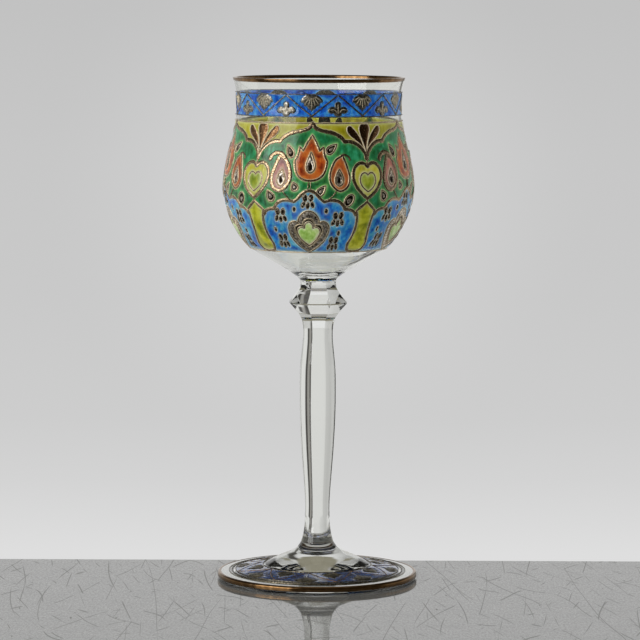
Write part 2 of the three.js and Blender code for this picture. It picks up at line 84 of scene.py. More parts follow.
# Distance of the cut flats from the axis
STEM_FLATS = [
    (13, 16.1, CORNER), (6.1, 19.7), (5.2, 23), (4.88, 28), (5.1, 35), (5.75, 44), (6.55, 55), (7.12, 66.8),
    (7.25, 77.8), (7.05, 86.7), (6.4, 93.8), (5.95, 99.1), (6.05, 103.6), (6.7, 106.9), (7.8, 108.85, CORNER),
    (8, 109.15, CORNER), (11.38, 113.2, CORNER), (11.4, 113.7, CORNER), (8.9, 117.0, CORNER),
    (8.7, 117.3, CORNER), (7.26, 119.8, CORNER), (7.2, 120.1, CORNER), (7.2, 122.4), (8.4, 124), (13, 126.4),
]
PLATE = [(21.3, 5.75), (34.4, 3.35), (34.7, 3.2), (39.6, 2.95)]
FOOT_TOP = [
    (6.55, 15.1), (8, 13), (10.2, 11.25), (13.5, 9.78), (17.6, 7.98), (20.8, 6.25, CORNER),
    *((r, z, CORNER) for r, z in PLATE), (40.3, 2.85), (40.66, 2.35), (40.68, 1.5), (40.6, 0.7), (40.1, 0, CORNER),
    (36.2, 0, CORNER), (30, 0.9), (18, 2.4), (0, 3.6),
]


# Lines through points

def through(points, step):
    """A smooth line through points, as points about step apart."""
    knots = np.array(points, float)
    chords = np.linalg.norm(np.diff(knots, axis=0), axis=1)
    slopes = np.diff(knots, axis=0) / chords[:, None]
    if len(knots) > 2:
        before, after = chords[:-1, None], chords[1:, None]
        inner = (slopes[:-1] * after + slopes[1:] * before) / (before + after)
        tangents = np.vstack([1.5 * slopes[:1] - 0.5 * inner[:1], inner, 1.5 * slopes[-1:] - 0.5 * inner[-1:]])
    else:
        tangents = np.repeat(slopes, 2, axis=0)
    drawn = []
    for i, chord in enumerate(chords):
        t = np.linspace(0, 1, max(1, math.ceil(chord / step)), endpoint=False)[:, None]
        drawn.append(
            (2 * t**3 - 3 * t**2 + 1) * knots[i] + (t**3 - 2 * t**2 + t) * chord * tangents[i]
            + (3 * t**2 - 2 * t**3) * knots[i + 1] + (t**3 - t**2) * chord * tangents[i + 1]
        )
    return np.vstack([*drawn, knots[-1:]])


def line(points, step=0.4, closed=False):
    """A line through points that turns sharply only at those marked CORNER. A closed one starts at one."""
    path = [*points, points[0]] if closed else list(points)
    corners = [0, *(i for i in range(1, len(path) - 1) if len(path[i]) > 2), len(path) - 1]
    runs = [through([p[:2] for p in path[a:b + 1]], step) for a, b in zip(corners, corners[1:])]
    drawn = np.vstack([run[:-1] for run in runs])
    return drawn if closed else np.vstack([drawn, runs[-1][-1:]])


def mirrored(half):
    """A whole outline from its right half, whose first and last points lie on the middle line."""
    return [*half, *((-p[0], *p[1:]) for p in reversed(half[1:-1]))]


def both_sides(half):
    """An open line over both sides, from its right half."""
    return [*((-p[0], *p[1:]) for p in reversed(half[1:])), *half]


def other_side(points):
    return [(-p[0], *p[1:]) for p in points]


def shifted(points, x, y=0.0):
    return [(p[0] + x, p[1] + y, *p[2:]) for p in points]


# Surfaces that the ornament lies on: a place on the surface and a lift give a point in millimetres

outside = line(BOWL_OUTSIDE, 0.3)
outside_slope = np.gradient(outside[:, 0], outside[:, 1])
DEGREE = math.radians(38.6)  # millimetres round the bowl's widest circle for each degree
LEVEL, RADIUS = outside[:, 1], outside[:, 0]


def on_ring(degrees, radius, height):
    angle = np.radians(degrees)
    return np.stack([radius * np.sin(angle), -radius * np.cos(angle), height], axis=-1)


def level_ring(angles, radius, height):
    """A ring of one radius at one height."""
    return on_ring(angles, np.full(len(angles), radius), np.full(len(angles), height))


def on_bowl(flat, lift):
    """A point at (distance round the widest circle, level), raised from the glass by lift."""
    x, z = flat[..., 0], flat[..., 1]
    slope = np.interp(z, LEVEL, outside_slope)
    along = 1 / np.sqrt(1 + slope**2)
    radius = np.interp(z, LEVEL, RADIUS) + lift * along
    return on_ring(x / DEGREE + TULIP_ANGLE + LEAN * (z - LEAN_LEVEL), radius, z - lift * slope * along)


def on_neck(flat, lift):
    """As on_bowl, without the arcade's lean."""
    x, z = flat[..., 0], flat[..., 1]
    return on_ring(x / DEGREE, np.interp(z, LEVEL, RADIUS) + lift, z)


FOOT_DEGREE = math.radians(28.0)


def on_foot(flat, lift):
    """A point at (distance round the band's middle circle, radius) on the foot's plate."""
    x, r = flat[..., 0], flat[..., 1]
    return on_ring(x / FOOT_DEGREE, r, np.interp(r, *zip(*PLATE)) + lift)


# Meshes

def mesh_object(name, points, faces, materials=(), faces_material=None, smooth=True, sharp=None):
    """A piece from points in millimetres. sharp is the angle in degrees past which an edge stays sharp."""
    mesh = bpy.data.meshes.new(name)
    mesh.from_pydata((np.asarray(points) * MM).tolist(), [], [list(face) for face in faces])
    for material in materials:
        mesh.materials.append(material)
    if faces_material is not None:
        mesh.polygons.foreach_set("material_index", np.asarray(faces_material, np.int32))
    if smooth:
        mesh.shade_smooth()
    if sharp is not None:
        mesh.set_sharp_from_angle(angle=math.radians(sharp))
    mesh.validate()
    piece = bpy.data.objects.new(name, mesh)
    bpy.context.scene.collection.objects.link(piece)
    return piece


def dressed(piece, slot, *nodes):
    """Puts a piece on the goblet in place of some CAD nodes."""
    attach(piece, "root")
    if nodes:
        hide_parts(*nodes)
    return piece


def grid_faces(rows, columns, closed_rows=False):
    """Quads between rows of points that each close on themselves."""
    last = rows if closed_rows else rows - 1
    return [
        (i * columns + j, i * columns + (j + 1) % columns,
         (i + 1) % rows * columns + (j + 1) % columns, (i + 1) % rows * columns + j)
        for i in range(last) for j in range(columns)
    ]


# Materials

def shader(name, **sockets):
    """A material with a Principled shader whose sockets are set by name, and its nodes and links."""
    material = bpy.data.materials.new(name)
    material.use_nodes = True
    tree = material.node_tree
    principled = tree.nodes["Principled BSDF"]
    for socket, value in sockets.items():
        principled.inputs[socket.replace("_", " ")].default_value = value
    return material, tree, principled


def linear(code):
    """The linear colour of a hexadecimal sRGB one."""
    channels = [int(code[i:i + 2], 16) / 255 for i in (1, 3, 5)]
    return (*(c / 12.92 if c <= 0.04045 else ((c + 0.055) / 1.055) ** 2.4 for c in channels), 1)


def add(tree, kind, links=(), **settings):
    """A node of a kind with its settings, and with links as {input: output socket}."""
    node = tree.nodes.new(f"ShaderNode{kind}")
    for key, value in settings.items():
        if key in node.inputs:
            node.inputs[key].default_value = value
        else:
            setattr(node, key, value)
    for key, source in dict(links).items():
        tree.links.new(source, node.inputs[key])
    return node


def place(tree, scale=(1, 1, 1)):
    """Position in the scene, scaled, so that no two repeats look alike."""
    position = add(tree, "NewGeometry")
    return add(tree, "Mapping", {"Vector": position.outputs["Position"]}, Scale=scale).outputs["Vector"]


def ramp(tree, factor, stops):
    """Colours along a factor, as (place, hexadecimal colour)."""
    node = add(tree, "ValToRGB", {"Fac": factor})
    elements = node.color_ramp.elements
    while len(elements) < len(stops):
        elements.new(0.5)
    for element, (position, code) in zip(elements, stops):
        element.position = position
        element.color = linear(code)
    return node.outputs["Color"]


def fade(tree, value, start, end, low=0, high=1, smooth=True):
    """How far a value is from start to end, as a number from low to high."""
    node = add(tree, "MapRange", {"Value": value}, interpolation_type="SMOOTHSTEP" if smooth else "LINEAR")
    for socket, number in (("From Min", start), ("From Max", end), ("To Min", low), ("To Max", high)):
        node.inputs[socket].default_value = number
    return node.outputs["Result"]


def mixed(tree, factor, first, second, **settings):
    """Two colours mixed, each a node's output or a linear colour."""
    node = add(tree, "Mix", {"Factor": factor}, data_type="RGBA", **settings)
    for socket, colour in ((6, first), (7, second)):
        if isinstance(colour, tuple):
            node.inputs[socket].default_value = colour
        else:
            tree.links.new(colour, node.inputs[socket])
    return node.outputs[2]


def calculated(tree, operation, first, second=0):
    """A Math node's result, of outputs or numbers."""
    node = add(tree, "Math", operation=operation)
    for socket, value in zip(node.inputs, (first, second)):
        if isinstance(value, (int, float)):
            socket.default_value = value
        else:
            tree.links.new(value, socket)
    return node.outputs[0]


def bumped(tree, principled, height, strength, distance):
    """Roughens a Principled shader's surface by a height, with distance in metres."""
    bump = add(tree, "Bump", {"Height": height}, Strength=strength, Distance=distance)
    tree.links.new(bump.outputs["Normal"], principled.inputs["Normal"])


def glass_material():
    material, tree, principled = shader(
        "clear_glass", Base_Color=linear("#fbfcfa"), Roughness=0.0, IOR=1.5, Transmission_Weight=1.0)
    ripple = add(tree, "TexNoise", {"Vector": place(tree, (1, 1, 0.4))}, Scale=60, Detail=1)
    bumped(tree, principled, ripple.outputs["Fac"], 0.04, 0.0004)
    return material


# How much of a field's edge lies under the line round it, in millimetres
COVERED = 0.65


def enamel_material(name, stops, edge, stroke=(700, 700, 260), clear=0.45, thin_and_highlight_edge_share=0.75, covered=COVERED,
                    specular=0.5, ior=1.5):
    """Fired enamel: brushed, mottled colour that turns to the edge colour near a gold line, partly as thinner enamel
    and partly as a painted highlight. covered is how much of its edge, in millimetres, lies under that line."""
    material, tree, principled = shader(
        name, Roughness=0.1, IOR=ior, Transmission_Weight=clear, Subsurface_Weight=1.0,
        Subsurface_Radius=(1, 1, 1), Subsurface_Scale=0.0006, Specular_IOR_Level=specular)
    broad = add(tree, "TexNoise", {"Vector": place(tree)}, Scale=170, Detail=3, Distortion=0.8)
    brushed = add(tree, "TexNoise", {"Vector": place(tree, stroke)}, Scale=1, Detail=3, Roughness=0.6)
    both = add(tree, "Math", {0: broad.outputs["Fac"], 1: brushed.outputs["Fac"]}, operation="ADD")
    factor = add(tree, "Math", {0: both.outputs[0]}, operation="MULTIPLY_ADD")
    factor.inputs[1].default_value, factor.inputs[2].default_value = 1.5, -1.0
    colour = ramp(tree, factor.outputs[0], stops)
    depth = add(tree, "Attribute", attribute_name="from_edge").outputs["Fac"]
    # Towards a gold line the colour turns to the edge colour: partly thinner enamel, partly a painted highlight.
    for reach, share in ((0.42, thin_and_highlight_edge_share), (1.5, thin_and_highlight_edge_share * 0.4)):
        away = fade(tree, depth, covered, covered + reach, share, 0)
        colour = mixed(tree, away, colour, linear(edge))
    tree.links.new(colour, principled.inputs["Base Color"])
    bumped(tree, principled, brushed.outputs["Fac"], 0.25, 0.0003)
    return material


def gold_material(name, stops, roughness, grain, depth, metallic=1.0):
    """Gilding: metal whose colour and polish change from grain to grain."""
    material, tree, principled = shader(name, Metallic=metallic)
    grains = add(tree, "TexNoise", {"Vector": place(tree)}, Scale=grain, Detail=4, Roughness=0.65)
    tree.links.new(ramp(tree, grains.outputs["Fac"], stops), principled.inputs["Base Color"])
    polish = fade(tree, grains.outputs["Fac"], 0, 1, *roughness, smooth=False)
    tree.links.new(polish, principled.inputs["Roughness"])
    bumped(tree, principled, grains.outputs["Fac"], 0.6, depth)
    return material


GLASS = glass_material()
RAISED_GOLD = gold_material(
    "raised_gold", [(0.3, "#503c2a"), (0.5, "#9c8364"), (0.66, "#e8d8ba")], (0.14, 0.34), 2400, 0.00006)
# Pale, mostly matt gold for the petal rims and leaf veins, and as a painted highlight along the edges of the gold
# lines.
PALE_GOLD_AND_EDGE_HIGHLIGHT = gold_material(
    "pale_gold_and_highlight", [(0.3, "#b4a27c"), (0.5, "#dccdaa"), (0.68, "#f8f2e0")], (0.3, 0.5), 2400, 0.00006, metallic=0.35)
BROWN_GOLD = gold_material(
    "brown_gold", [(0.35, "#40291a"), (0.55, "#7c5a3c"), (0.7, "#d0ac84")], (0.16, 0.34), 2000, 0.00008)
MATT_GOLD = gold_material(
    "matt_gold", [(0.38, "#2a231d"), (0.5, "#b4a694"), (0.58, "#fff6e8")], (0.25, 0.5), 1500, 0.00022)
NECK_GOLD = gold_material(
    "neck_gold", [(0.35, "#3a3834"), (0.5, "#7e7a70"), (0.66, "#cac6ba")], (0.2, 0.42), 1600, 0.0001)
LEAF_GOLD = gold_material(
    "leaf_gold", [(0.35, "#2c2822"), (0.5, "#6e6654"), (0.66, "#bcb29c")], (0.2, 0.42), 1600, 0.0001)
PETAL_GOLD = gold_material(
    "petal_gold", [(0.4, "#14100c"), (0.52, "#41352a"), (0.62, "#d8ccb8")], (0.2, 0.45), 1800, 0.0001)
COPPER = gold_material(
    "copper_gold", [(0.35, "#4c3424"), (0.55, "#8e6a4c"), (0.7, "#ccac8c")], (0.2, 0.42), 1600, 0.0001)
DARK_GROUND = gold_material(
    "dark_ground", [(0.35, "#140e0a"), (0.6, "#2e2218"), (0.75, "#6a5844")], (0.35, 0.6), 2000, 0.0001)
BRIGHT_GOLD = gold_material(
    "burnished_gold", [(0.3, "#5e4428"), (0.6, "#8a6a46"), (0.8, "#b09270")], (0.1, 0.24), 500, 0.00002)
BLUE = enamel_material(
    "blue_enamel", [(0.1, "#124cb0"), (0.32, "#1c86f0"), (0.54, "#38aeff"), (0.84, "#78d8ff")], "#c8e8ff")
NECK_BLUE = enamel_material(
    "neck_blue_enamel", [(0.1, "#103aa0"), (0.38, "#1c68d4"), (0.62, "#3496f0"), (0.9, "#6cc0ff")], "#5c9cec",
    thin_and_highlight_edge_share=0.3, specular=0.32)
FOOT_BLUE = enamel_material(
    "dark_blue_enamel", [(0.1, "#060e26"), (0.45, "#0b1c42"), (0.7, "#143264"), (0.9, "#2660a0")], "#1e2e50",
    clear=0.4, specular=0.06, ior=1.22)
YELLOW = enamel_material(
    "yellow_enamel", [(0.1, "#978e0c"), (0.36, "#b4ab18"), (0.7, "#cac42a"), (0.9, "#e4e05c")], "#f2f294",
    (500, 500, 90))
GREEN = enamel_material(
    "green_enamel", [(0.1, "#10542c"), (0.4, "#22824a"), (0.66, "#2a9c64"), (0.9, "#44bc86")], "#94d880")
RED_BROWN = enamel_material(
    "red_brown_enamel", [(0.2, "#8c2c14"), (0.5, "#c4541c"), (0.8, "#ec8830")], "#f4a860")
ORANGE_BROWN = enamel_material(
    "orange_brown_enamel", [(0.2, "#762310"), (0.5, "#ac4616"), (0.8, "#d67426")], "#eca66c")
PURPLE_BROWN = enamel_material(
    "purple_brown_enamel", [(0.2, "#742c30"), (0.5, "#aa5650"), (0.8, "#d89078")], "#f0c8b0")
OLIVE = enamel_material(
    "olive_enamel", [(0.2, "#bcb41e"), (0.5, "#dcd638"), (0.8, "#f2ec60")], "#f8faac")
HEART_GREEN = enamel_material(
    "heart_green_enamel", [(0.2, "#7c9620"), (0.5, "#a4b42e"), (0.8, "#c6d050")], "#e2ec98")
OLIVE_GREEN = enamel_material(
    "olive_green_enamel", [(0.2, "#929e1a"), (0.46, "#d4d430"), (0.72, "#fafa58")], "#f6faa0", (300, 300, 120))
LEAF_GREEN = enamel_material(
    "leaf_green_enamel", [(0.2, "#a2cc62"), (0.5, "#c6ea86"), (0.8, "#e6fab6")], "#faffe4", clear=0.15, covered=0.2)


# Glass

# Rows of the glass as (from level, to level, step)
LEVEL_STEPS = [(15.1, 31, 0.25), (31, 122, 0.8), (122, 128, 0.2), (128, HEIGHT - 0.4, 0.8)]
# How far an edge between two flats is rounded to each side, in degrees
EDGE_ANGLE = 0.8


def glass_body():
    """Bowl, stem and foot as the one body of glass that they really are: a turned form, with the stem's
    flats cut into it."""
    flats = line(STEM_FLATS, 0.5)
    cut_levels = [p[1] for p in STEM_FLATS if len(p) > 2]
    levels = np.unique(np.round(np.concatenate([
        *(np.arange(low, high, step) for low, high, step in LEVEL_STEPS),
        [z for z in cut_levels if z > 20], [BOWL_OUTSIDE[-1][1]],
    ]), 3))
    blank_levels = np.concatenate([through(STEM_BLANK, 0.2)[:-1], [(13, 35), (13, 118)], line(BOWL_OUTSIDE, 0.2)])
    blank_levels = blank_levels[np.argsort(blank_levels[:, 1], kind="stable")]
    round_radius = np.interp(levels, blank_levels[:, 1], blank_levels[:, 0])
    flat_radius = np.where(levels < STEM_FLATS[-1][1], np.interp(levels, flats[:, 1], flats[:, 0]), 99)
    half_side = 180 / STEM_SIDES
    near_edge = half_side - EDGE_ANGLE
    steps = np.concatenate([[-half_side, -near_edge], np.linspace(-half_side + 2, half_side - 2, 34), [near_edge]])
    from_flat = np.tile(steps, STEM_SIDES)
    angles = STEM_TURN + from_flat + np.repeat(np.arange(STEM_SIDES) * 2 * half_side, len(steps))
    columns = len(angles)
    edge = math.cos(math.radians(near_edge))
    bulge = 1 + FACET_BULGE * (1 - (from_flat / half_side) ** 2)
    cut_radius = flat_radius[:, None] * (bulge / np.maximum(np.cos(np.radians(from_flat)), edge))[None, :]
    radius = np.minimum(round_radius[:, None], cut_radius)
    rows = [on_ring(angles, r, np.full(columns, z)) for r, z in zip(radius, levels)]
    inside = line(BOWL_INSIDE, 1.0)[::-1]
    rows += [level_ring(angles, r, z) for r, z in [*LIP, *inside[:-1]]]
    foot = line(FOOT_TOP, 0.4)[1:]
    rows = [level_ring(angles, r, z) for r, z in foot[:-1][::-1]] + rows
    points = np.vstack(rows)
    count = len(points)
    points = np.vstack([points, [(0, 0, BOWL_INSIDE[0][1]), (0, 0, FOOT_TOP[-1][1])]])
    faces = grid_faces(len(rows), columns)
    top = count - columns
    faces += [(top + j, top + (j + 1) % columns, count) for j in range(columns)]
    faces += [((j + 1) % columns, j, count + 1) for j in range(columns)]
    return dressed(mesh_object("glass_body", points, faces, [GLASS], sharp=16), "glass", "bowl", "stem", "foot")


def turned(name, profile, material, columns=240):
    """A closed ring from an anticlockwise profile of (radius, height)."""
    angles = np.arange(columns) * 360 / columns
    rows = [level_ring(angles, r, z) for r, z in profile]
    return mesh_object(name, np.vstack(rows), grid_faces(len(rows), columns, True), [material], sharp=40)


def skin_profile(surface, thickness, gap=0.015):
    """The closed profile of a skin over a stretch of an outline that is listed anticlockwise."""
    along = np.gradient(surface, axis=0)
    out = np.stack([along[:, 1], -along[:, 0]], axis=1) / np.linalg.norm(along, axis=1)[:, None]
    taper = np.minimum(1, np.minimum(np.arange(len(surface)), np.arange(len(surface))[::-1]) / 2 + 0.15)
    return np.vstack([surface + out * (gap + thickness * taper[:, None]), (surface + out * gap)[::-1]])


def lip_gold():
    over = [(r, z) for r, z in line(BOWL_OUTSIDE, 0.15) if z > HEIGHT - LIP_HEIGHT]
    inner = [(r, z) for r, z in line(BOWL_INSIDE, 0.15)[::-1] if z > HEIGHT - LIP_HEIGHT]
    profile = skin_profile(np.array([*over, *LIP, *inner]), GILDING * 0.8)
    return dressed(turned("lip_gold", profile, BRIGHT_GOLD), "gold", "lip_gilding")


def foot_edge_gold():
    edge = line(FOOT_TOP, 0.15)
    edge = edge[(edge[:, 0] > 39.2) & (edge[:, 1] > 0.95) & (edge[:, 1] < 3.1)][::-1]
    profile = skin_profile(edge, GILDING)
    return dressed(turned("foot_edge_gold", profile, BRIGHT_GOLD), "gold", "foot_edge_gilding")


# Raised lines: a ribbon with a flattened back along a path on a surface

# Across a ribbon, as (share of its half width, share of its height)
RIBBON = [(1, 0), (0.9, 0.62), (0.62, 0.96), (0, 1), (-0.62, 0.96), (-0.9, 0.62), (-1, 0)]


def grain_at(points, scale, seed):
    return np.array([noise.noise(Vector(p) * scale + Vector((seed, seed, seed))) for p in points])


def ribbon(path, half_width, height, surface, closed, seed=0.0):
    """Points and faces of one raised line, a little uneven in width and height as drawn by hand."""
    base = surface(path, np.zeros(len(path)))
    normal = surface(path, np.ones(len(path))) - base
    if closed:
        along = np.roll(base, -1, axis=0) - np.roll(base, 1, axis=0)
    else:
        along = np.gradient(base, axis=0)
    side = np.cross(along, normal)
    side /= np.linalg.norm(side, axis=1)[:, None]
    width = half_width * (1 + 0.25 * grain_at(base, 0.9, seed))
    tall = height * (1 + 0.25 * grain_at(base, 1.7, seed + 9))
    if not closed:
        ends = np.minimum(1, np.minimum(np.arange(len(path)), np.arange(len(path))[::-1]) * 0.45 + 0.3)
        width, tall = width * ends, tall * ends
    rows = [base + side * (width * across)[:, None] + normal * (0.02 + tall * up)[:, None]
            for across, up in RIBBON]
    points = np.stack(rows, axis=1).reshape(-1, 3)
    n = len(RIBBON)
    rings = len(path) if closed else len(path) - 1
    faces = []
    for i in range(rings):
        a, b = i * n, (i + 1) % len(path) * n
        faces += [(a + k, a + (k + 1) % n, b + (k + 1) % n, b + k) for k in range(n)]
    if not closed:
        last = (len(path) - 1) * n
        faces += [tuple(reversed(range(n))), tuple(last + k for k in range(n))]
    return points, faces


def joined(parts):
    """One list of points and faces from several."""
    points, faces, start = [], [], 0
    for some_points, some_faces in parts:
        points.append(some_points)
        faces += [tuple(v + start for v in face) for face in some_faces]
        start += len(some_points)
    return np.vstack(points), faces


def turn_by(degrees):
    """The matrix that rows of points are multiplied by to turn them round the axis."""
    return np.array(Matrix.Rotation(math.radians(degrees), 3, "Z")).T


def turned_copies(part, count, start=0.0):
    """A part repeated round the axis, from an angle in degrees."""
    points, faces = part
    return joined([(points @ turn_by(start + 360 * k / count), faces) for k in range(count)])


# Sheets: a flat drawing of regions, filled with triangles and raised from the surface as cushions

class Sheet:
    """A drawing of overlapping closed regions, where a later one covers an earlier one."""

    def __init__(self, width, low, high, surface, spacing=0.95):
        self.width, self.low, self.high, self.surface, self.spacing = width, low, high, surface, spacing
        self.near = 1.25
        self.regions = []

    def region(self, label, outline):
        self.regions.append((label, outline))

    def fill(self):
        """Triangulates the drawing. Each triangle gets the label of the last region that holds it."""
        half = self.width / 2
        step = self.spacing * 0.6
        side_levels = np.linspace(self.low, self.high, math.ceil((self.high - self.low) / step) + 1)
        across = np.linspace(-half, half, math.ceil(self.width / step) + 1)
        frame_lines = [
            np.stack([np.full(len(side_levels), -half), side_levels], 1),
            np.stack([np.full(len(side_levels), half), side_levels], 1),
            np.stack([across, np.full(len(across), self.low)], 1),
            np.stack([across, np.full(len(across), self.high)], 1),
        ]
        points, edges = [], []
        for path in frame_lines:
            start = len(points)
            points += path.tolist()
            edges += [(start + i, start + i + 1) for i in range(len(path) - 1)]
        for _, outline in self.regions:
            for clipped in self.clipped(outline):
                start = len(points)
                points += clipped.tolist()
                edges += [(start + i, start + i + 1) for i in range(len(clipped) - 1)]
        points += self.inner_points(np.array(points)).tolist()
        vertices, _, faces, *_ = delaunay_2d_cdt([Vector(p) for p in points], edges, [], 0, 1e-4, False)
        self.points = np.array([tuple(v) for v in vertices])
        self.faces = np.array(faces)
        centres = self.points[self.faces].mean(axis=1)
        self.labels = np.full(len(self.faces), "", dtype=object)
        for label, outline in self.regions:
            self.labels[holds(outline, centres)] = label

    def clipped(self, outline):
        """The stretches of a closed outline that lie within the sheet, ending on its edge."""
        half = self.width / 2
        ring = np.vstack([outline, outline[:1]])
        inside = (np.abs(ring[:, 0]) <= half) & (ring[:, 1] >= self.low) & (ring[:, 1] <= self.high)
        clamped = np.stack([np.clip(ring[:, 0], -half, half), np.clip(ring[:, 1], self.low, self.high)], 1)
        stretches, current = [], []
        for i in range(len(ring)):
            near = inside[i] or inside[max(i - 1, 0)] or inside[min(i + 1, len(ring) - 1)]
            if near:
                current.append(clamped[i])
            elif current:
                stretches.append(current)
                current = []
        if current:
            stretches.append(current)
        return [np.array(s) for s in stretches if len(s) > 1]

    def inner_points(self, drawn):
        """A grid of points between the lines, and a row beside each line where the cushion's edge curves."""
        tree = kdtree.KDTree(len(drawn))
        for i, (x, y) in enumerate(drawn):
            tree.insert((x, y, 0), i)
        tree.balance()
        kept = []
        for gap, nearest, farthest in ((self.spacing, self.near, 99), (0.36, 0.2, self.near)):
            rows = np.arange(self.low + gap / 2, self.high, gap * 0.87)
            for k, y in enumerate(rows):
                for x in np.arange(-self.width / 2 + gap / 3, self.width / 2 - gap / 4, gap) + gap / 2 * (k % 2):
                    if abs(x) < self.width / 2 - gap / 4 and nearest < tree.find((x, y, 0))[2] <= farthest:
                        kept.append((x, y))
        return np.array(kept)

    def cushion(self, label, height, edge_height=0.05, roundness=0.5, centre=0.0, bare=("petal_rim", "palmette")):
        """Points, faces and distances from the edge of the raised solid over one label's triangles. A region
        that the sheet's side cuts is put together round centre. Where it meets a bare shape no line covers its
        edge, so the distance starts further on."""
        faces = self.faces[self.labels == label]
        beside_bare = np.zeros(len(self.points), bool)
        for other in bare:
            beside_bare[np.unique(self.faces[self.labels == other])] = True
        flat = self.points.copy()
        if centre:
            flat[flat[:, 0] < 0, 0] += self.width
        keys, index = {}, np.empty(len(flat), int)
        for i in np.unique(faces):
            key = (round(flat[i, 0], 2), round(flat[i, 1], 2))
            index[i] = keys.setdefault(key, len(keys))
        placed = np.empty((len(keys), 2))
        uncovered = np.zeros(len(keys), bool)
        for i in np.unique(faces):
            placed[index[i]] = flat[i]
            uncovered[index[i]] = beside_bare[i]
        faces = index[faces]
        faces = faces[(faces[:, 0] != faces[:, 1]) & (faces[:, 1] != faces[:, 2]) & (faces[:, 2] != faces[:, 0])]
        border = border_edges(faces)
        rim = np.unique(np.array(border))
        distance = distances(placed, placed[rim])
        swell = 1 - np.exp(-distance / roundness)
        lift = edge_height + (height - edge_height) * swell
        top = self.surface(placed, lift)
        bottom = self.surface(placed, np.full(len(placed), -FUSED))
        if uncovered[rim].any() and not uncovered[rim].all():
            distance = np.minimum(distances(placed, placed[rim[~uncovered[rim]]]),
                                  distances(placed, placed[rim[uncovered[rim]]]) + COVERED)
        n = len(placed)
        solid = [tuple(face) for face in faces] + [tuple(n + v for v in face[::-1]) for face in faces]
        solid += [(a, n + a, n + b, b) for a, b in border]
        return np.vstack([top, bottom]), solid, np.concatenate([distance, distance])


def holds(outline, points):
    """Which points lie within a closed outline."""
    within = np.zeros(len(points), bool)
    for (x0, y0), (x1, y1) in zip(outline, np.roll(outline, -1, axis=0)):
        crosses = (y0 > points[:, 1]) != (y1 > points[:, 1])
        at = x0 + (x1 - x0) * (points[:, 1] - y0) / ((y1 - y0) or 1)
        within ^= crosses & (points[:, 0] < at)
    return within


def border_edges(faces):
    """The edges, in the order that they are listed, that only one face has."""
    edges = set()
    for a, b, c in faces:
        for edge in ((a, b), (b, c), (c, a)):
            if edge[::-1] in edges:
                edges.remove(edge[::-1])
            else:
                edges.add(edge)
    return sorted(edges)


def distances(points, targets):
    tree = kdtree.KDTree(len(targets))
    for i, (x, y) in enumerate(targets):
        tree.insert((x, y, 0), i)
    tree.balance()
    return np.array([tree.find((x, y, 0))[2] for x, y in points])


def cushion_piece(name, part, material):
    points, faces, distance = part
    piece = mesh_object(name, points, faces, [material], sharp=60)
    attribute = piece.data.attributes.new("from_edge", "FLOAT", "POINT")
    attribute.data.foreach_set("value", distance.astype(np.float32))
    return piece


# The arcade on the bowl, drawn as (degrees from the tulip's axis, level)

BODY_BAND = (136.0, 187.6)
ARCH = [
    (0, 187.5), (1.6, 186), (5.6, 184.8), (9.8, 184.25), (14.2, 183.6), (17.8, 182.5), (20.4, 181.2),
    (21.4, 180.3, CORNER), (25, 180.3), (28.6, 179.6), (31.7, 178.3), (34, 176.7), (35.4, 175), (36, 172.5),
]
CARTOUCHE = [
    (0, 161.2), (2.4, 160.8), (4.6, 159.7), (7, 157.9), (9.2, 156.8, CORNER), (12.8, 157.4), (16.2, 157.3),
    (19.6, 156.1), (22, 153.8, CORNER), (24.6, 153.7), (27.8, 152.8), (29.6, 150.8),
]
TULIP = [
    (0, 183, CORNER), (3.1, 179.7), (5.3, 176.8, CORNER), (7.7, 178.2, CORNER), (8.6, 174.6),
    (10.1, 172.8, CORNER), (9.1, 169.3), (7.7, 167.3), (4.6, 165.7), (0, 165.1),
]
TULIP_DROP = [(0, 176.3, CORNER), (1.5, 174), (2.6, 171.6), (2.6, 169.9), (1.5, 168.6), (0, 168.2)]
BOTEH = [
    (19.6, 174.8, CORNER), (21.2, 172.6), (22.7, 169.8), (23.9, 166.8), (23.7, 164.4), (22, 162.1), (18, 161),
    (14.2, 162.7), (12.1, 165.3), (12.1, 168.3), (13.5, 171), (15.6, 173.3),
]
BOTEH_HOOK = [(15.6, 173.3), (18.5, 175.4), (21.7, 175.9), (24.6, 175.2), (26.3, 173.8), (26, 172.3)]
RIGHT_HOOK = [(17.9, 174.2), (19.6, 175.1), (22.4, 174.9), (24, 173.9), (24.3, 172.6)]
BOTEH_DROP = [
    (17.5, 169.6, CORNER), (19.4, 167.4), (20.2, 165.4), (19.4, 163.7), (17.6, 163), (15.8, 163.9), (15.1, 165.6),
    (15.9, 167.6),
]
HEART = [
    (0, 170.4, CORNER), (2.6, 171.8), (5.4, 171.8), (8.6, 170.1), (9.8, 166.9), (8.4, 163.6), (4.6, 160.3),
    (0, 157.9, CORNER),
]
HEART_CORE = [
    (0, 167.2, CORNER), (1.6, 168), (3.4, 167.9), (5, 166.6), (5.3, 165), (4.2, 163), (2.2, 161.6),
    (0, 160.6, CORNER),
]
VASE = [
    (0, 156.6, CORNER), (6.4, 153.2, CORNER), (5.2, 149.6), (5.1, 145.6), (6.1, 142.2), (7.4, 139.4),
    (6.2, 137.2), (3, 136.5), (0, 136.4),
]
MEDALLION = [
    (0, 153.1, CORNER), (2.6, 152.7), (5, 151.3), (6.5, 149.6), (6.5, 148.3, CORNER), (8.6, 148.9), (11.4, 148.4),
    (13, 146.7), (12.9, 144.3), (11.2, 141.6), (7.8, 139.2), (3.6, 137.4), (0, 136.2, CORNER),
]
MEDALLION_INSIDE = [
    (0, 150, CORNER), (2.2, 149.6), (3.5, 148.4), (3.7, 147.3, CORNER), (6, 147.6), (8.2, 147), (9.3, 145.5),
    (8.7, 143.5), (6.7, 141.6), (3.6, 139.7), (0, 138.2, CORNER),
]
LEAF = [
    (0, 148.8, CORNER), (1.8, 148.2), (2.6, 147), (2.8, 146.1, CORNER), (4.6, 146.6), (6.6, 146.1), (7.5, 144.9),
    (7, 143.3), (5.3, 141.7), (2.8, 140.3), (0, 139.3, CORNER),
]
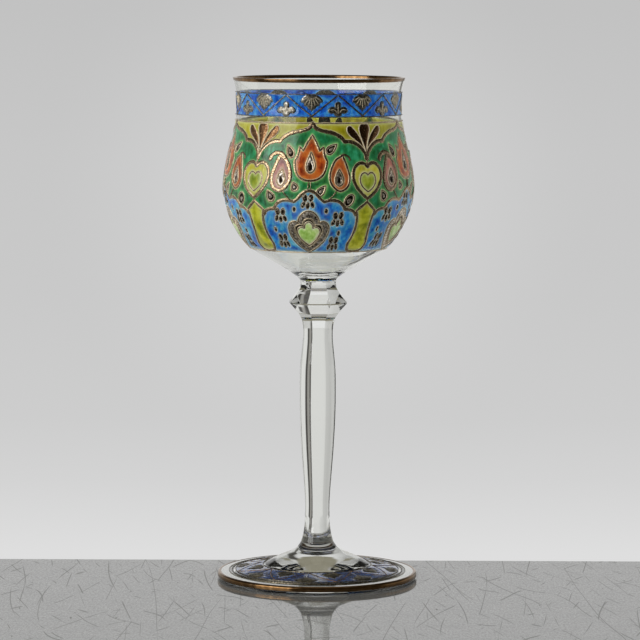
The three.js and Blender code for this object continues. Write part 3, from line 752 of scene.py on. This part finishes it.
PALMETTE_MIDDLE = [
    (0, 187.2, CORNER), (3.2, 186.9), (4.1, 185.7), (3.5, 183.2), (2.1, 180.6), (0.9, 178), (0.6, 175.6, CORNER),
    (0, 175.4),
]
PALMETTE_SIDE = [
    (0.9, 177.3, CORNER), (3.9, 179.2), (7.9, 181.2), (11.2, 182.9), (12.9, 184.7), (12.3, 186.3), (10.3, 186.5),
    (8, 185.4), (4.9, 183.2), (2.3, 180.4),
]


def flat(points):
    """Degrees and levels as millimetres on the flat drawing."""
    return [(p[0] * DEGREE, *p[1:]) for p in points]


def closed(points, step=0.45):
    return line(flat(points), step, closed=True)


def opened(points, step=0.4):
    return line(flat(points), step)


def level_line(side, level, count, unit=DEGREE):
    """A straight line across a sheet, as count points. unit is millimetres to a degree."""
    return np.stack([np.linspace(-side, side, count) * unit, np.full(count, level)], 1)


def whole(side, low, high, unit=DEGREE):
    """A rectangle that reaches past a sheet on every side."""
    left, right = (-side - 1) * unit, (side + 1) * unit
    return np.array([(left, low - 1), (right, low - 1), (right, high + 1), (left, high + 1)])


def put(shape, x, y, turn):
    """A shape in millimetres turned clockwise in degrees, at (degrees, level)."""
    a = math.radians(turn)
    return shape @ np.array([[math.cos(a), -math.sin(a)], [math.sin(a), math.cos(a)]]) + (x * DEGREE, y)


def drop(x, y, width, height, turn=0.0):
    """A drop with its point up, at (degrees, level), turned clockwise in degrees. Sizes in millimetres."""
    t = np.linspace(0, 2 * math.pi, 18, endpoint=False)
    shape = np.stack([np.sin(t) * np.sin(t / 2) * width * 0.62, -np.cos(t) * height / 2], 1) * (1, -1)
    return put(shape, x, y, turn)


def oval(x, y, width, height, turn=0.0):
    """An oval at (degrees, level), turned clockwise in degrees. Sizes in millimetres."""
    t = np.linspace(0, 2 * math.pi, 14, endpoint=False)
    shape = np.stack([np.cos(t) * width / 2, np.sin(t) * height / 2], 1)
    return put(shape, x, y, turn)


def paw(x, y, rim=0.0):
    """Two petals above three, fanned, with an even rim added in millimetres."""
    upper = [oval(x + k * 1.75, y + 1.55, 1.95 + rim, 2.95 + rim, 8 * k) for k in (-1, 1)]
    lower = [oval(x + k * 2.75, y - 1.45 + abs(k) * 0.35, 1.5 + rim, 2.7 + rim, -20 * k) for k in (-1, 0, 1)]
    return upper + lower


SEEDS = [
    (drop, -9, 162.8, 3, 3.6, -20), (drop, 7.2, 161.2, 3, 5, 40), (drop, -24.3, 159, 3.6, 4.8, -30),
    (oval, 24.2, 157.2, 5.4, 3.6, -60), (drop, -13.6, 176.6, 3.2, 5.6, -28), (drop, 12.9, 177.6, 3.2, 5.6, 52),
]
PAWS = [(-0.6, 156.7), (-18, 151.1), (18.4, 149.6), (-18.8, 140.6), (17.4, 139.5)]
PETAL_RIM = 0.34
DOTS = [(-9, 153.7), (10.7, 153.1), (-23, 145.4), (20.1, 144)]


def arcade_sheet():
    low, high = BODY_BAND
    sheet = Sheet(REPEAT_ANGLE * DEGREE, low, high, on_bowl)
    right, left = HEART_ANGLE, -HEART_ANGLE
    corner_right, corner_left = (right + 1, high + 1), (left - 1, high + 1)
    arch = both_sides(ARCH)
    arch_down = opened(arch)
    cartouche = opened([(left - 1, 148), *both_sides(CARTOUCHE), (right + 1, 148)])
    box = np.array(flat([(left - 1, low - 1), (right + 1, low - 1)]))
    sheet.region("yellow", np.array(flat([corner_left, (left - 1, low - 1), (right + 1, low - 1), corner_right])))
    sheet.region("green", np.vstack([arch_down, box[::-1]]))
    sheet.region("blue", np.vstack([cartouche, box[::-1]]))
    sheet.region("tulip", closed(mirrored(TULIP)))
    sheet.region("boteh_right", closed(BOTEH))
    sheet.region("boteh_left", closed(other_side(BOTEH)))
    sheet.region("medallion_gold", closed(mirrored(MEDALLION)))
    sheet.region("medallion_ground", closed(mirrored(MEDALLION_INSIDE)))
    sheet.region("leaf", closed(mirrored(LEAF)))
    for axis in (left, right):
        sheet.region("heart", closed(shifted(mirrored(HEART), axis)))
        sheet.region("heart_core", closed(shifted(mirrored(HEART_CORE), axis)))
        sheet.region("vase", closed(shifted(mirrored(VASE), axis)))
        for leaf in (mirrored(PALMETTE_MIDDLE), PALMETTE_SIDE, other_side(PALMETTE_SIDE)):
            sheet.region("palmette", closed(shifted(leaf, axis)))
    for shape, x, y, width, height, turn in SEEDS:
        sheet.region("seed", shape(x, y, width, height, turn))
        sheet.region("drop", shape(x, y - 0.1, width * 0.4, height * 0.42, turn))
    for label, rim in (("petal_rim", PETAL_RIM), ("petal", 0)):
        for petal in [petal for p in PAWS for petal in paw(*p, rim)]:
            sheet.region(label, petal)
        for x, y in DOTS:
            sheet.region(label, oval(x, y, 1.35 + rim, 2 + rim))
    for shape in (BOTEH_DROP, other_side(BOTEH_DROP), mirrored(TULIP_DROP)):
        sheet.region("drop", closed(shape))
    for x, y, width, height in ((0, 170.6, 1.7, 3.4), (17.6, 165.4, 1.3, 2.5), (-17.6, 165.4, 1.3, 2.5)):
        sheet.region("seed", drop(x, y, width, height))
    sheet.fill()
    return sheet


def raised_lines(paths, surface=on_bowl, height=0.3, wider=0.0):
    """The ribbons along (path, half width, closed) lines."""
    return joined([ribbon(path, half + wider, height, surface, is_closed, seed=0.37 * i)
                   for i, (path, half, is_closed) in enumerate(paths)])


def arcade_lines():
    """The outlines between the fields, and the finer lines within them."""
    main = [
        (opened(both_sides(ARCH)), 0.88, False), (opened(both_sides(CARTOUCHE)), 0.66, False),
        (closed(shifted(mirrored(HEART), HEART_ANGLE), 0.4), 0.76, True),
        (closed(shifted(mirrored(VASE), HEART_ANGLE), 0.4), 0.58, True),
        (opened([(HEART_ANGLE, 155.8), (HEART_ANGLE, 158.6)]), 0.3, False),
    ]
    fine = [(closed(outline, step), half, True) for outline, step, half in (
        (mirrored(TULIP), 0.4, 0.5), (mirrored(TULIP_DROP), 0.35, 0.38), (BOTEH, 0.4, 0.48),
        (other_side(BOTEH), 0.4, 0.92), (BOTEH_DROP, 0.35, 0.32), (other_side(BOTEH_DROP), 0.35, 0.32),
        (shifted(mirrored(HEART_CORE), HEART_ANGLE), 0.35, 0.32), (mirrored(MEDALLION), 0.4, 0.3),
        (mirrored(MEDALLION_INSIDE), 0.4, 0.2), (mirrored(LEAF), 0.35, 0.22))]
    fine += [(shape(x, y, width, height, turn), 0.3, True) for shape, x, y, width, height, turn in SEEDS]
    fine += [(level_line(HEART_ANGLE, BODY_BAND[1], 100), 0.2, False),
             (level_line(HEART_ANGLE, BODY_BAND[0], 100), 0.12, False)]
    over = [(opened(RIGHT_HOOK), 0.44, False), (opened(other_side(BOTEH_HOOK)), 0.95, False)]
    over.append((opened([(HEART_ANGLE, 170.2), (HEART_ANGLE, 178)]), 0.34, False))
    over += [(opened([(x, 160.9), (x * 0.7, 165.2)]), 0.2, False) for x in (-0.9, 0.9)]
    over += [(opened([(s * 10, 156.9), (s * 13.4, 158.8), (s * 16.2, 161.2)]), 0.28, False) for s in (-1, 1)]
    return main, fine, over


REPEATED = [
    # piece, label, material, slot, height, node
    ("spandrel_enamel", "yellow", YELLOW, "yellow_enamel", 0.2, "spandrel_yellow"),
    ("field_enamel", "green", GREEN, "green_enamel", 0.26, "field_green"),
    ("tulip_enamel", "tulip", RED_BROWN, "red_brown_enamel", 0.3, "tulip"),
    ("left_boteh_enamel", "boteh_left", PURPLE_BROWN, "orange_brown_enamel", 0.3, "boteh_left"),
    ("right_boteh_enamel", "boteh_right", ORANGE_BROWN, "orange_brown_enamel", 0.3, "boteh_right"),
    ("heart_enamel", "heart", OLIVE, "olive_enamel", 0.28, "heart"),
    ("heart_core_enamel", "heart_core", HEART_GREEN, "olive_enamel", 0.32, None),
    ("vase_enamel", "vase", OLIVE_GREEN, "olive_green_enamel", 0.28, "vase_stem"),
    ("cartouche_enamel", "blue", BLUE, "blue_enamel", 0.24, "cartouche_blue"),
    ("medallion_gold", "medallion_gold", MATT_GOLD, "gold", 0.32, "medallion_gilding"),
    ("medallion_ground", "medallion_ground", DARK_GROUND, "gold", 0.06, None),
    ("medallion_leaf_enamel", "leaf", LEAF_GREEN, "leaf_green_enamel", 0.34, "medallion_leaf"),
    ("palmette_gold", "palmette", BROWN_GOLD, "gold", 0.34, None),
    ("seed_ground", "seed", DARK_GROUND, "gold", 0.1, None),
    ("petal_rim_gold", "petal_rim", PALE_GOLD_AND_EDGE_HIGHLIGHT, "gold", 0.26, None),
    ("petal_gold", "petal", PETAL_GOLD, "gold", 0.36, None),
    ("drop_gold", "drop", MATT_GOLD, "gold", 0.36, None),
]
ACROSS_SEAM = {"yellow", "heart", "heart_core", "vase", "palmette"}


def arcade():
    sheet = arcade_sheet()
    for name, label, material, slot, height, node in REPEATED:
        centre = HEART_ANGLE if label in ACROSS_SEAM else 0
        points, faces, distance = sheet.cushion(label, height, centre=centre)
        for k in range(REPEATS):
            turned_points = points @ turn_by(k * REPEAT_ANGLE)
            piece = cushion_piece(f"{name}_{k + 1}", (turned_points, faces, distance), material)
            dressed(piece, slot, *([f"{node}_{k + 1}"] if node else []))
    main, fine, over = arcade_lines()
    outlines = turned_copies(raised_lines(main, height=0.4), REPEATS)
    dressed(mesh_object("arcade_gold", *outlines, [RAISED_GOLD], sharp=70), "gold", "arcade_gilding")
    palmettes = [(closed(shifted(leaf, HEART_ANGLE), 0.4), 0.15, True)
                 for leaf in (mirrored(PALMETTE_MIDDLE), PALMETTE_SIDE, other_side(PALMETTE_SIDE))]
    # Pale ribbons a little wider and lower than the lines, and round the palmettes, paint a highlight along the edges
    # of the gold lines.
    pale = joined([raised_lines(main, height=0.28, wider=0.14), raised_lines(fine, height=0.26, wider=0.13),
                   raised_lines(palmettes, height=0.36)])
    dressed(mesh_object("gold_edge_highlights", *turned_copies(pale, REPEATS), [PALE_GOLD_AND_EDGE_HIGHLIGHT], sharp=70), "gold")
    details = turned_copies(joined([raised_lines(fine, height=0.34), raised_lines(over, height=0.48)]), REPEATS)
    dressed(mesh_object("fine_gold_lines", *details, [RAISED_GOLD], sharp=70), "gold")


# Neck band

NECK_BAND = (190.0, 199.0)
ZIGZAGS = 10
ZIGZAG_ANGLE = 360 / ZIGZAGS
NECK_START = -4.8
NECK_PALMETTE = [
    (0, 198.7), (2.4, 198.8), (5, 198.3), (7.2, 197), (7.7, 195.8, CORNER), (5.9, 195.5), (5.1, 194.2, CORNER),
    (3.6, 194.2), (2.4, 193.1, CORNER), (1.4, 193), (0, 192, CORNER),
]
NECK_VEINS = [[(0, 198), (0, 193)], [(0.7, 198), (2.4, 194.2)], [(1.4, 198), (4.8, 195)], [(2, 198.1), (6.8, 196.4)]]
NECK_TREFOIL = [
    (0, 196.1), (1.6, 195.8), (2.3, 194.8), (1.8, 193.7, CORNER), (3.6, 194.2), (6, 193.6), (7.1, 192.4), (5.6, 191.5),
    (3, 191.5, CORNER), (2.2, 190.6), (0, 190.2, CORNER),
]
TREFOIL_VEINS = [[(0, 190.8), (0, 195.4)], [(0.6, 191.4), (2.8, 192.9), (5.8, 192.7)]]


def veins(lines, axis, unit):
    """Thin raised lines on both halves of a leaf."""
    both = [*lines, *(other_side(path) for path in lines[1:])]
    return [(line([(p[0] * unit, p[1]) for p in shifted(path, axis)], 0.5), 0.11, False) for path in both]


def neck_band():
    low, high = NECK_BAND
    sheet = Sheet(ZIGZAG_ANGLE * DEGREE, low, high, on_neck)
    side = ZIGZAG_ANGLE / 2
    sheet.region("blue", whole(side, low, high))
    sheet.region("palmette", closed(mirrored(NECK_PALMETTE)))
    for axis in (-side, side):
        sheet.region("trefoil", closed(shifted(mirrored(NECK_TREFOIL), axis)))
    sheet.fill()
    blue_points, blue_faces, distance = sheet.cushion("blue", 0.22)
    ring = turned_copies((blue_points, blue_faces), ZIGZAGS, NECK_START)
    enamel = cushion_piece("neck_enamel", (*ring, np.tile(distance, ZIGZAGS)), NECK_BLUE)
    zigzag = [(opened([(-side, high - 0.3), (0, low + 0.4, CORNER), (side, high - 0.3)]), 0.36, False)]
    zigzag += [(level_line(side, z, 50), 0.2, False) for z in (low, high)]
    shapes = [sheet.cushion("palmette", 0.3)[:2], sheet.cushion("trefoil", 0.3, centre=side)[:2]]
    ribs = raised_lines(veins(NECK_VEINS, 0, DEGREE) + veins(TREFOIL_VEINS, side, DEGREE), on_neck, 0.38)
    gold = turned_copies(joined([raised_lines(zigzag, on_neck, 0.38), *shapes]), ZIGZAGS, NECK_START)
    gilt = mesh_object("neck_gold", *gold, [NECK_GOLD], sharp=70)
    dressed(mesh_object("neck_veins", *turned_copies(ribs, ZIGZAGS, NECK_START), [PALE_GOLD_AND_EDGE_HIGHLIGHT], sharp=70), "gold")
    dressed(enamel, "blue_enamel", "neck_band_enamel")
    dressed(gilt, "gold", "neck_band_gilding")


# Foot band, drawn as (degrees, radius)

FOOT_BAND = (22.2, 33.4)
FOOT_ZIGZAGS = 8
FOOT_START = 14.0
FOOT_OUTER_LEAF = [
    (0, 33.2), (3.6, 32.9), (7.2, 31.9), (9.2, 30.5, CORNER), (6.6, 29.9), (5.6, 28.9, CORNER), (3, 28.5),
    (0, 26.8, CORNER),
]
FOOT_INNER_LEAF = [
    (0, 22.5), (4, 22.8), (7.6, 23.8), (9.4, 25.2, CORNER), (6.6, 25.9), (5.4, 27, CORNER), (2.8, 27.6),
    (0, 29.4, CORNER),
]
FOOT_VEINS = [[(0, 1), (0, 5.6)], [(0.8, 1), (5, 4.6)], [(1.6, 0.9), (7.6, 2.9)]]


def flat_on_foot(points):
    """Degrees and radii as millimetres on the flat drawing."""
    return [(p[0] * FOOT_DEGREE, *p[1:]) for p in points]


def foot_band():
    low, high = FOOT_BAND
    side = 180 / FOOT_ZIGZAGS
    sheet = Sheet(2 * side * FOOT_DEGREE, low, high, on_foot)
    sheet.region("blue", whole(side, low, high, FOOT_DEGREE))
    sheet.region("inner", line(flat_on_foot(mirrored(FOOT_INNER_LEAF)), 0.45, closed=True))
    for axis in (-side, side):
        sheet.region("outer", line(flat_on_foot(shifted(mirrored(FOOT_OUTER_LEAF), axis)), 0.45, closed=True))
    sheet.fill()
    points, faces, distance = sheet.cushion("blue", 0.2)
    ring = turned_copies((points, faces), FOOT_ZIGZAGS, FOOT_START)
    enamel = cushion_piece("foot_enamel", (*ring, np.tile(distance, FOOT_ZIGZAGS)), FOOT_BLUE)
    zigzag = [(line(flat_on_foot([(-side, low + 0.4), (0, high - 0.4, CORNER), (side, low + 0.4)])), 0.28, False)]
    rings = [(level_line(side, r, 60, FOOT_DEGREE), 0.12, False) for r in (low, high, 34.9, 36.1)]
    ribs = veins([shifted(path, 0, 22) for path in FOOT_VEINS], 0, FOOT_DEGREE)
    ribs += veins([[(x, 33.6 - r) for x, r in path] for path in FOOT_VEINS], side, FOOT_DEGREE)
    shapes = [sheet.cushion("inner", 0.28)[:2], sheet.cushion("outer", 0.28, centre=side)[:2]]
    lines = turned_copies(raised_lines(zigzag, on_foot, 0.3), FOOT_ZIGZAGS, FOOT_START)
    dressed(mesh_object("foot_lines", *lines, [COPPER], sharp=70), "gold")
    thin = [raised_lines(rings, on_foot, 0.28), raised_lines(ribs, on_foot, 0.34)]
    gold = turned_copies(joined([*thin, *shapes]), FOOT_ZIGZAGS, FOOT_START)
    gilt = mesh_object("foot_gold", *gold, [LEAF_GOLD], sharp=70)
    dressed(enamel, "dark_blue_enamel", "foot_band_enamel")
    dressed(gilt, "gold", "foot_band_gilding")


# Camera, floor, background and lamps

CAMERA_DISTANCE = 1.3841
CAMERA_HEIGHT = 0.24287
CAMERA_SIDE = 0.0008
CAMERA_PITCH = math.radians(5.642)
CAMERA_ROLL = math.radians(0.23)
CAMERA_LENS = 191.92
TABLE_EDGE = 0.0414
FLOOR_REACH = 60
# Distances from the axis past which the table, seen through glass, glows pale: painted light for the light that comes
# through the glass
GLOW_THROUGH_GLASS_ROUND_FOOT = (0.0335, 0.037)
# Families of scratches on the table, as (turn in radians, scale, width)
SCRATCHES = [(0.3, 32, 0.005), (-0.7, 25, 0.003), (1.2, 43, 0.008), (2.1, 55, 0.012), (2.7, 36, 0.006)]


def camera():
    data = bpy.data.cameras.new("camera")
    data.lens = CAMERA_LENS
    data.sensor_width = 36
    data.clip_end = 200
    seat = bpy.data.objects.new("camera", data)
    seat.matrix_world = (
        Matrix.Translation((CAMERA_SIDE, -CAMERA_DISTANCE, CAMERA_HEIGHT))
        @ Matrix.Rotation(math.pi / 2 - CAMERA_PITCH, 4, "X") @ Matrix.Rotation(CAMERA_ROLL, 4, "Z")
    )
    bpy.context.scene.collection.objects.link(seat)
    bpy.context.scene.camera = seat


def scratches(tree, turn, scale, width):
    """How much of a place a family of fine curved scratches takes, turned in radians."""
    turned_place = add(tree, "Mapping", {"Vector": place(tree, (1, 0.2, 1))}, Rotation=(0, 0, turn))
    lines = add(tree, "TexWave", {"Vector": turned_place.outputs["Vector"]}, Scale=scale, Distortion=14, Detail=1.5)
    lines.inputs["Detail Scale"].default_value = 0.5
    near = fade(tree, lines.outputs["Fac"], 1 - width, 1, smooth=False)
    patch = add(tree, "TexNoise", {"Vector": turned_place.outputs["Vector"]}, Scale=scale * 2.5, Detail=1)
    return calculated(tree, "MULTIPLY", near, fade(tree, patch.outputs["Fac"], 0.5, 0.58, smooth=False))


def sideways(tree, where):
    """What the ground looks like by way of glass: pale, with a darker stand at the right and less light aside."""
    across = calculated(tree, "DIVIDE", where.outputs["X"], where.outputs["Y"])
    share = calculated(tree, "MULTIPLY_ADD", across, 0.5)
    share.node.inputs[2].default_value = 0.5
    return ramp(tree, share, [
        (0.02, "#dadad8"), (0.12, "#c8c8c6"), (0.24, "#bcbcba"), (0.42, "#d2d2d0"), (0.46, "#dcdcda"),
        (0.645, "#dcdcda"), (0.655, "#5a5855"), (0.69, "#5a5855"), (0.7, "#96948f"), (0.72, "#96948f"),
        (0.73, "#3c3a37"), (0.75, "#3c3a37"), (0.764, "#e0e0de"), (0.95, "#dcdcda")])


def floor():
    """A polished grey table in front of a paler ground, both on one plane. The ground's shade and glow are fixed
    in the scene, and set out by the distance and height of the photograph's camera."""
    corners = np.array([(-1, -1, 0), (1, -1, 0), (1, 1, 0), (-1, 1, 0)]) * FLOOR_REACH / MM
    plane = mesh_object("floor", corners, [(0, 1, 2, 3)], smooth=False)
    material, tree, principled = shader("floor", IOR=1.9)
    cloud = add(tree, "TexNoise", {"Vector": place(tree)}, Scale=90, Detail=8, Roughness=0.75)
    tree.links.new(ramp(tree, cloud.outputs["Fac"], [(0.3, "#545452"), (0.7, "#6c6c69")]),
                   principled.inputs["Base Color"])
    principled.inputs["Roughness"].default_value = 0.04
    speck = add(tree, "TexNoise", {"Vector": place(tree, (1, 0.35, 1))}, Scale=1100, Detail=4, Roughness=0.8)
    grain = fade(tree, speck.outputs["Fac"], 0.4, 0.7, 0, 0.34, smooth=False)
    fleck = add(tree, "TexNoise", {"Vector": place(tree, (1, 0.25, 1))}, Scale=420, Detail=3)
    scratched = fade(tree, fleck.outputs["Fac"], 0.69, 0.74, smooth=False)
    for turn, scale, width in SCRATCHES:
        scratched = calculated(tree, "MAXIMUM", scratches(tree, turn, scale, width), scratched)
    worn = calculated(tree, "MAXIMUM", grain, calculated(tree, "MULTIPLY", scratched, 0.6))
    matt = add(tree, "BsdfDiffuse", Color=linear("#50504c"))
    top = add(tree, "MixShader", {0: worn, 1: principled.outputs[0], 2: matt.outputs[0]})
    here = add(tree, "NewGeometry").outputs["Position"]
    off_axis = add(tree, "VectorMath", {0: here}, operation="LENGTH").outputs["Value"]
    rays = add(tree, "LightPath").outputs
    # Seen through glass, the table beyond the foot's band is a pale emission: painted light for the light that comes
    # through the glass.
    glow_through_glass = calculated(tree, "MULTIPLY", rays["Is Transmission Ray"], fade(tree, off_axis, *GLOW_THROUGH_GLASS_ROUND_FOOT))
    pale = add(tree, "Emission", Color=linear("#b6b6b3"))
    top = add(tree, "MixShader", {0: glow_through_glass, 1: top.outputs[0], 2: pale.outputs[0]})
    where = add(tree, "SeparateXYZ", {"Vector": here})
    beyond = calculated(tree, "GREATER_THAN", where.outputs["Y"], TABLE_EDGE)
    depth = calculated(tree, "ADD", where.outputs["Y"], CAMERA_DISTANCE)
    fall = calculated(tree, "DIVIDE", CAMERA_HEIGHT, depth)
    across = calculated(tree, "DIVIDE", where.outputs["X"], depth)
    shade = ramp(tree, calculated(tree, "MULTIPLY", fall, 5), [
        (0.04, "#c2c2c2"), (0.25, "#c7c7c7"), (0.46, "#c9c9c9"), (0.64, "#cdcdcd"), (0.73, "#d3d3d3"),
        (0.84, "#dedede")])
    low = calculated(tree, "SUBTRACT", fall, 0.06)
    squares = [calculated(tree, "POWER", part, 2) for part in (low, across)]
    from_glow = calculated(tree, "SQRT", calculated(tree, "ADD", *squares))
    lit = mixed(tree, fade(tree, from_glow, 0, 0.085, 0.16, 0), shade, (0.55, 0.55, 0.55, 1), blend_type="ADD")
    colour = mixed(tree, rays["Is Camera Ray"], sideways(tree, where), lit)
    ground = add(tree, "Emission", {"Color": colour})
    mix = add(tree, "MixShader", {0: beyond, 1: top.outputs[0], 2: ground.outputs[0]})
    tree.links.new(mix.outputs[0], tree.nodes["Material Output"].inputs["Surface"])
    material.cycles.emission_sampling = "NONE"
    plane.data.materials.append(material)


def world():
    """The same pale ground low behind the goblet, in a dark room, and an even light for matt surfaces."""
    made = bpy.data.worlds.new("world")
    made.use_nodes = True
    tree = made.node_tree
    direction = add(tree, "SeparateXYZ", {"Vector": add(tree, "TexCoord").outputs["Generated"]})
    turn = calculated(tree, "ARCTAN2", direction.outputs["X"], direction.outputs["Y"])
    share = calculated(tree, "MULTIPLY_ADD", turn, 0.5 / math.pi)
    share.node.inputs[2].default_value = 0.5
    round_about = ramp(tree, share, [
        (0.2, "#9a9894"), (0.25, "#a8a8a6"), (0.375, "#b8b8b6"), (0.43, "#c8c8c6"), (0.475, "#eaeaea"),
        (0.525, "#eaeaea"), (0.54, "#dcdcda"), (0.546, "#4c4a46"), (0.558, "#4c4a46"), (0.564, "#d0d0ce"),
        (0.75, "#a8a8a6"), (0.8, "#9a9894")])
    path = add(tree, "LightPath")
    through_glass = path.outputs["Is Transmission Ray"]
    dark = calculated(tree, "SUBTRACT", fade(tree, direction.outputs["Y"], -0.3, -0.05, 1, 0), through_glass)
    dark.node.use_clamp = True
    level = mixed(tree, dark, round_about, linear("#3a3733"))
    walls = mixed(tree, through_glass, linear("#4a4843"), linear("#8e8a7a"))
    height = direction.outputs["Z"]
    above = mixed(tree, fade(tree, height, 0.27, 0.4), level, walls)
    room = mixed(tree, fade(tree, height, 0.86, 1.0), above, linear("#c8c8c6"))
    seen = add(tree, "Background", {"Color": room})
    lit = tree.nodes["Background"]
    lit.inputs["Color"].default_value = (1, 1, 1, 1)
    lit.inputs["Strength"].default_value = 1.0
    matt = calculated(tree, "GREATER_THAN", path.outputs["Diffuse Depth"], 0.5)
    mix = add(tree, "MixShader", {0: matt, 1: seen.outputs[0], 2: lit.outputs[0]})
    tree.links.new(mix.outputs[0], tree.nodes["World Output"].inputs["Surface"])
    bpy.context.scene.world = made


def lamp(name, place_at, target, size, power, in_reflections=True):
    """A rectangular lamp that glass doesn't show. One that isn't in reflections is found only by sampling it."""
    data = bpy.data.lights.new(name, "AREA")
    data.shape = "RECTANGLE"
    data.size, data.size_y = size
    data.energy = power
    lamp_object = bpy.data.objects.new(name, data)
    lamp_object.location = place_at
    lamp_object.rotation_euler = (Vector(target) - Vector(place_at)).to_track_quat("-Z", "Y").to_euler()
    lamp_object.visible_camera = in_reflections
    lamp_object.visible_glossy = in_reflections
    lamp_object.visible_transmission = False
    data.cycles.use_multiple_importance_sampling = in_reflections
    bpy.context.scene.collection.objects.link(lamp_object)


camera()
floor()
world()
lamp("softbox_left", (-1.13, -0.85, 0.62), (0, 0, 0.2), (1.2, 1.0), 12.4)
lamp("behind", (0, 1.3, 0.17), (0, 0, 0.17), (0.7, 0.3), 16, in_reflections=False)
glass_body()
lip_gold()
foot_edge_gold()
neck_band()
arcade()
foot_band()

bpy.context.scene.view_settings.view_transform = "Standard"
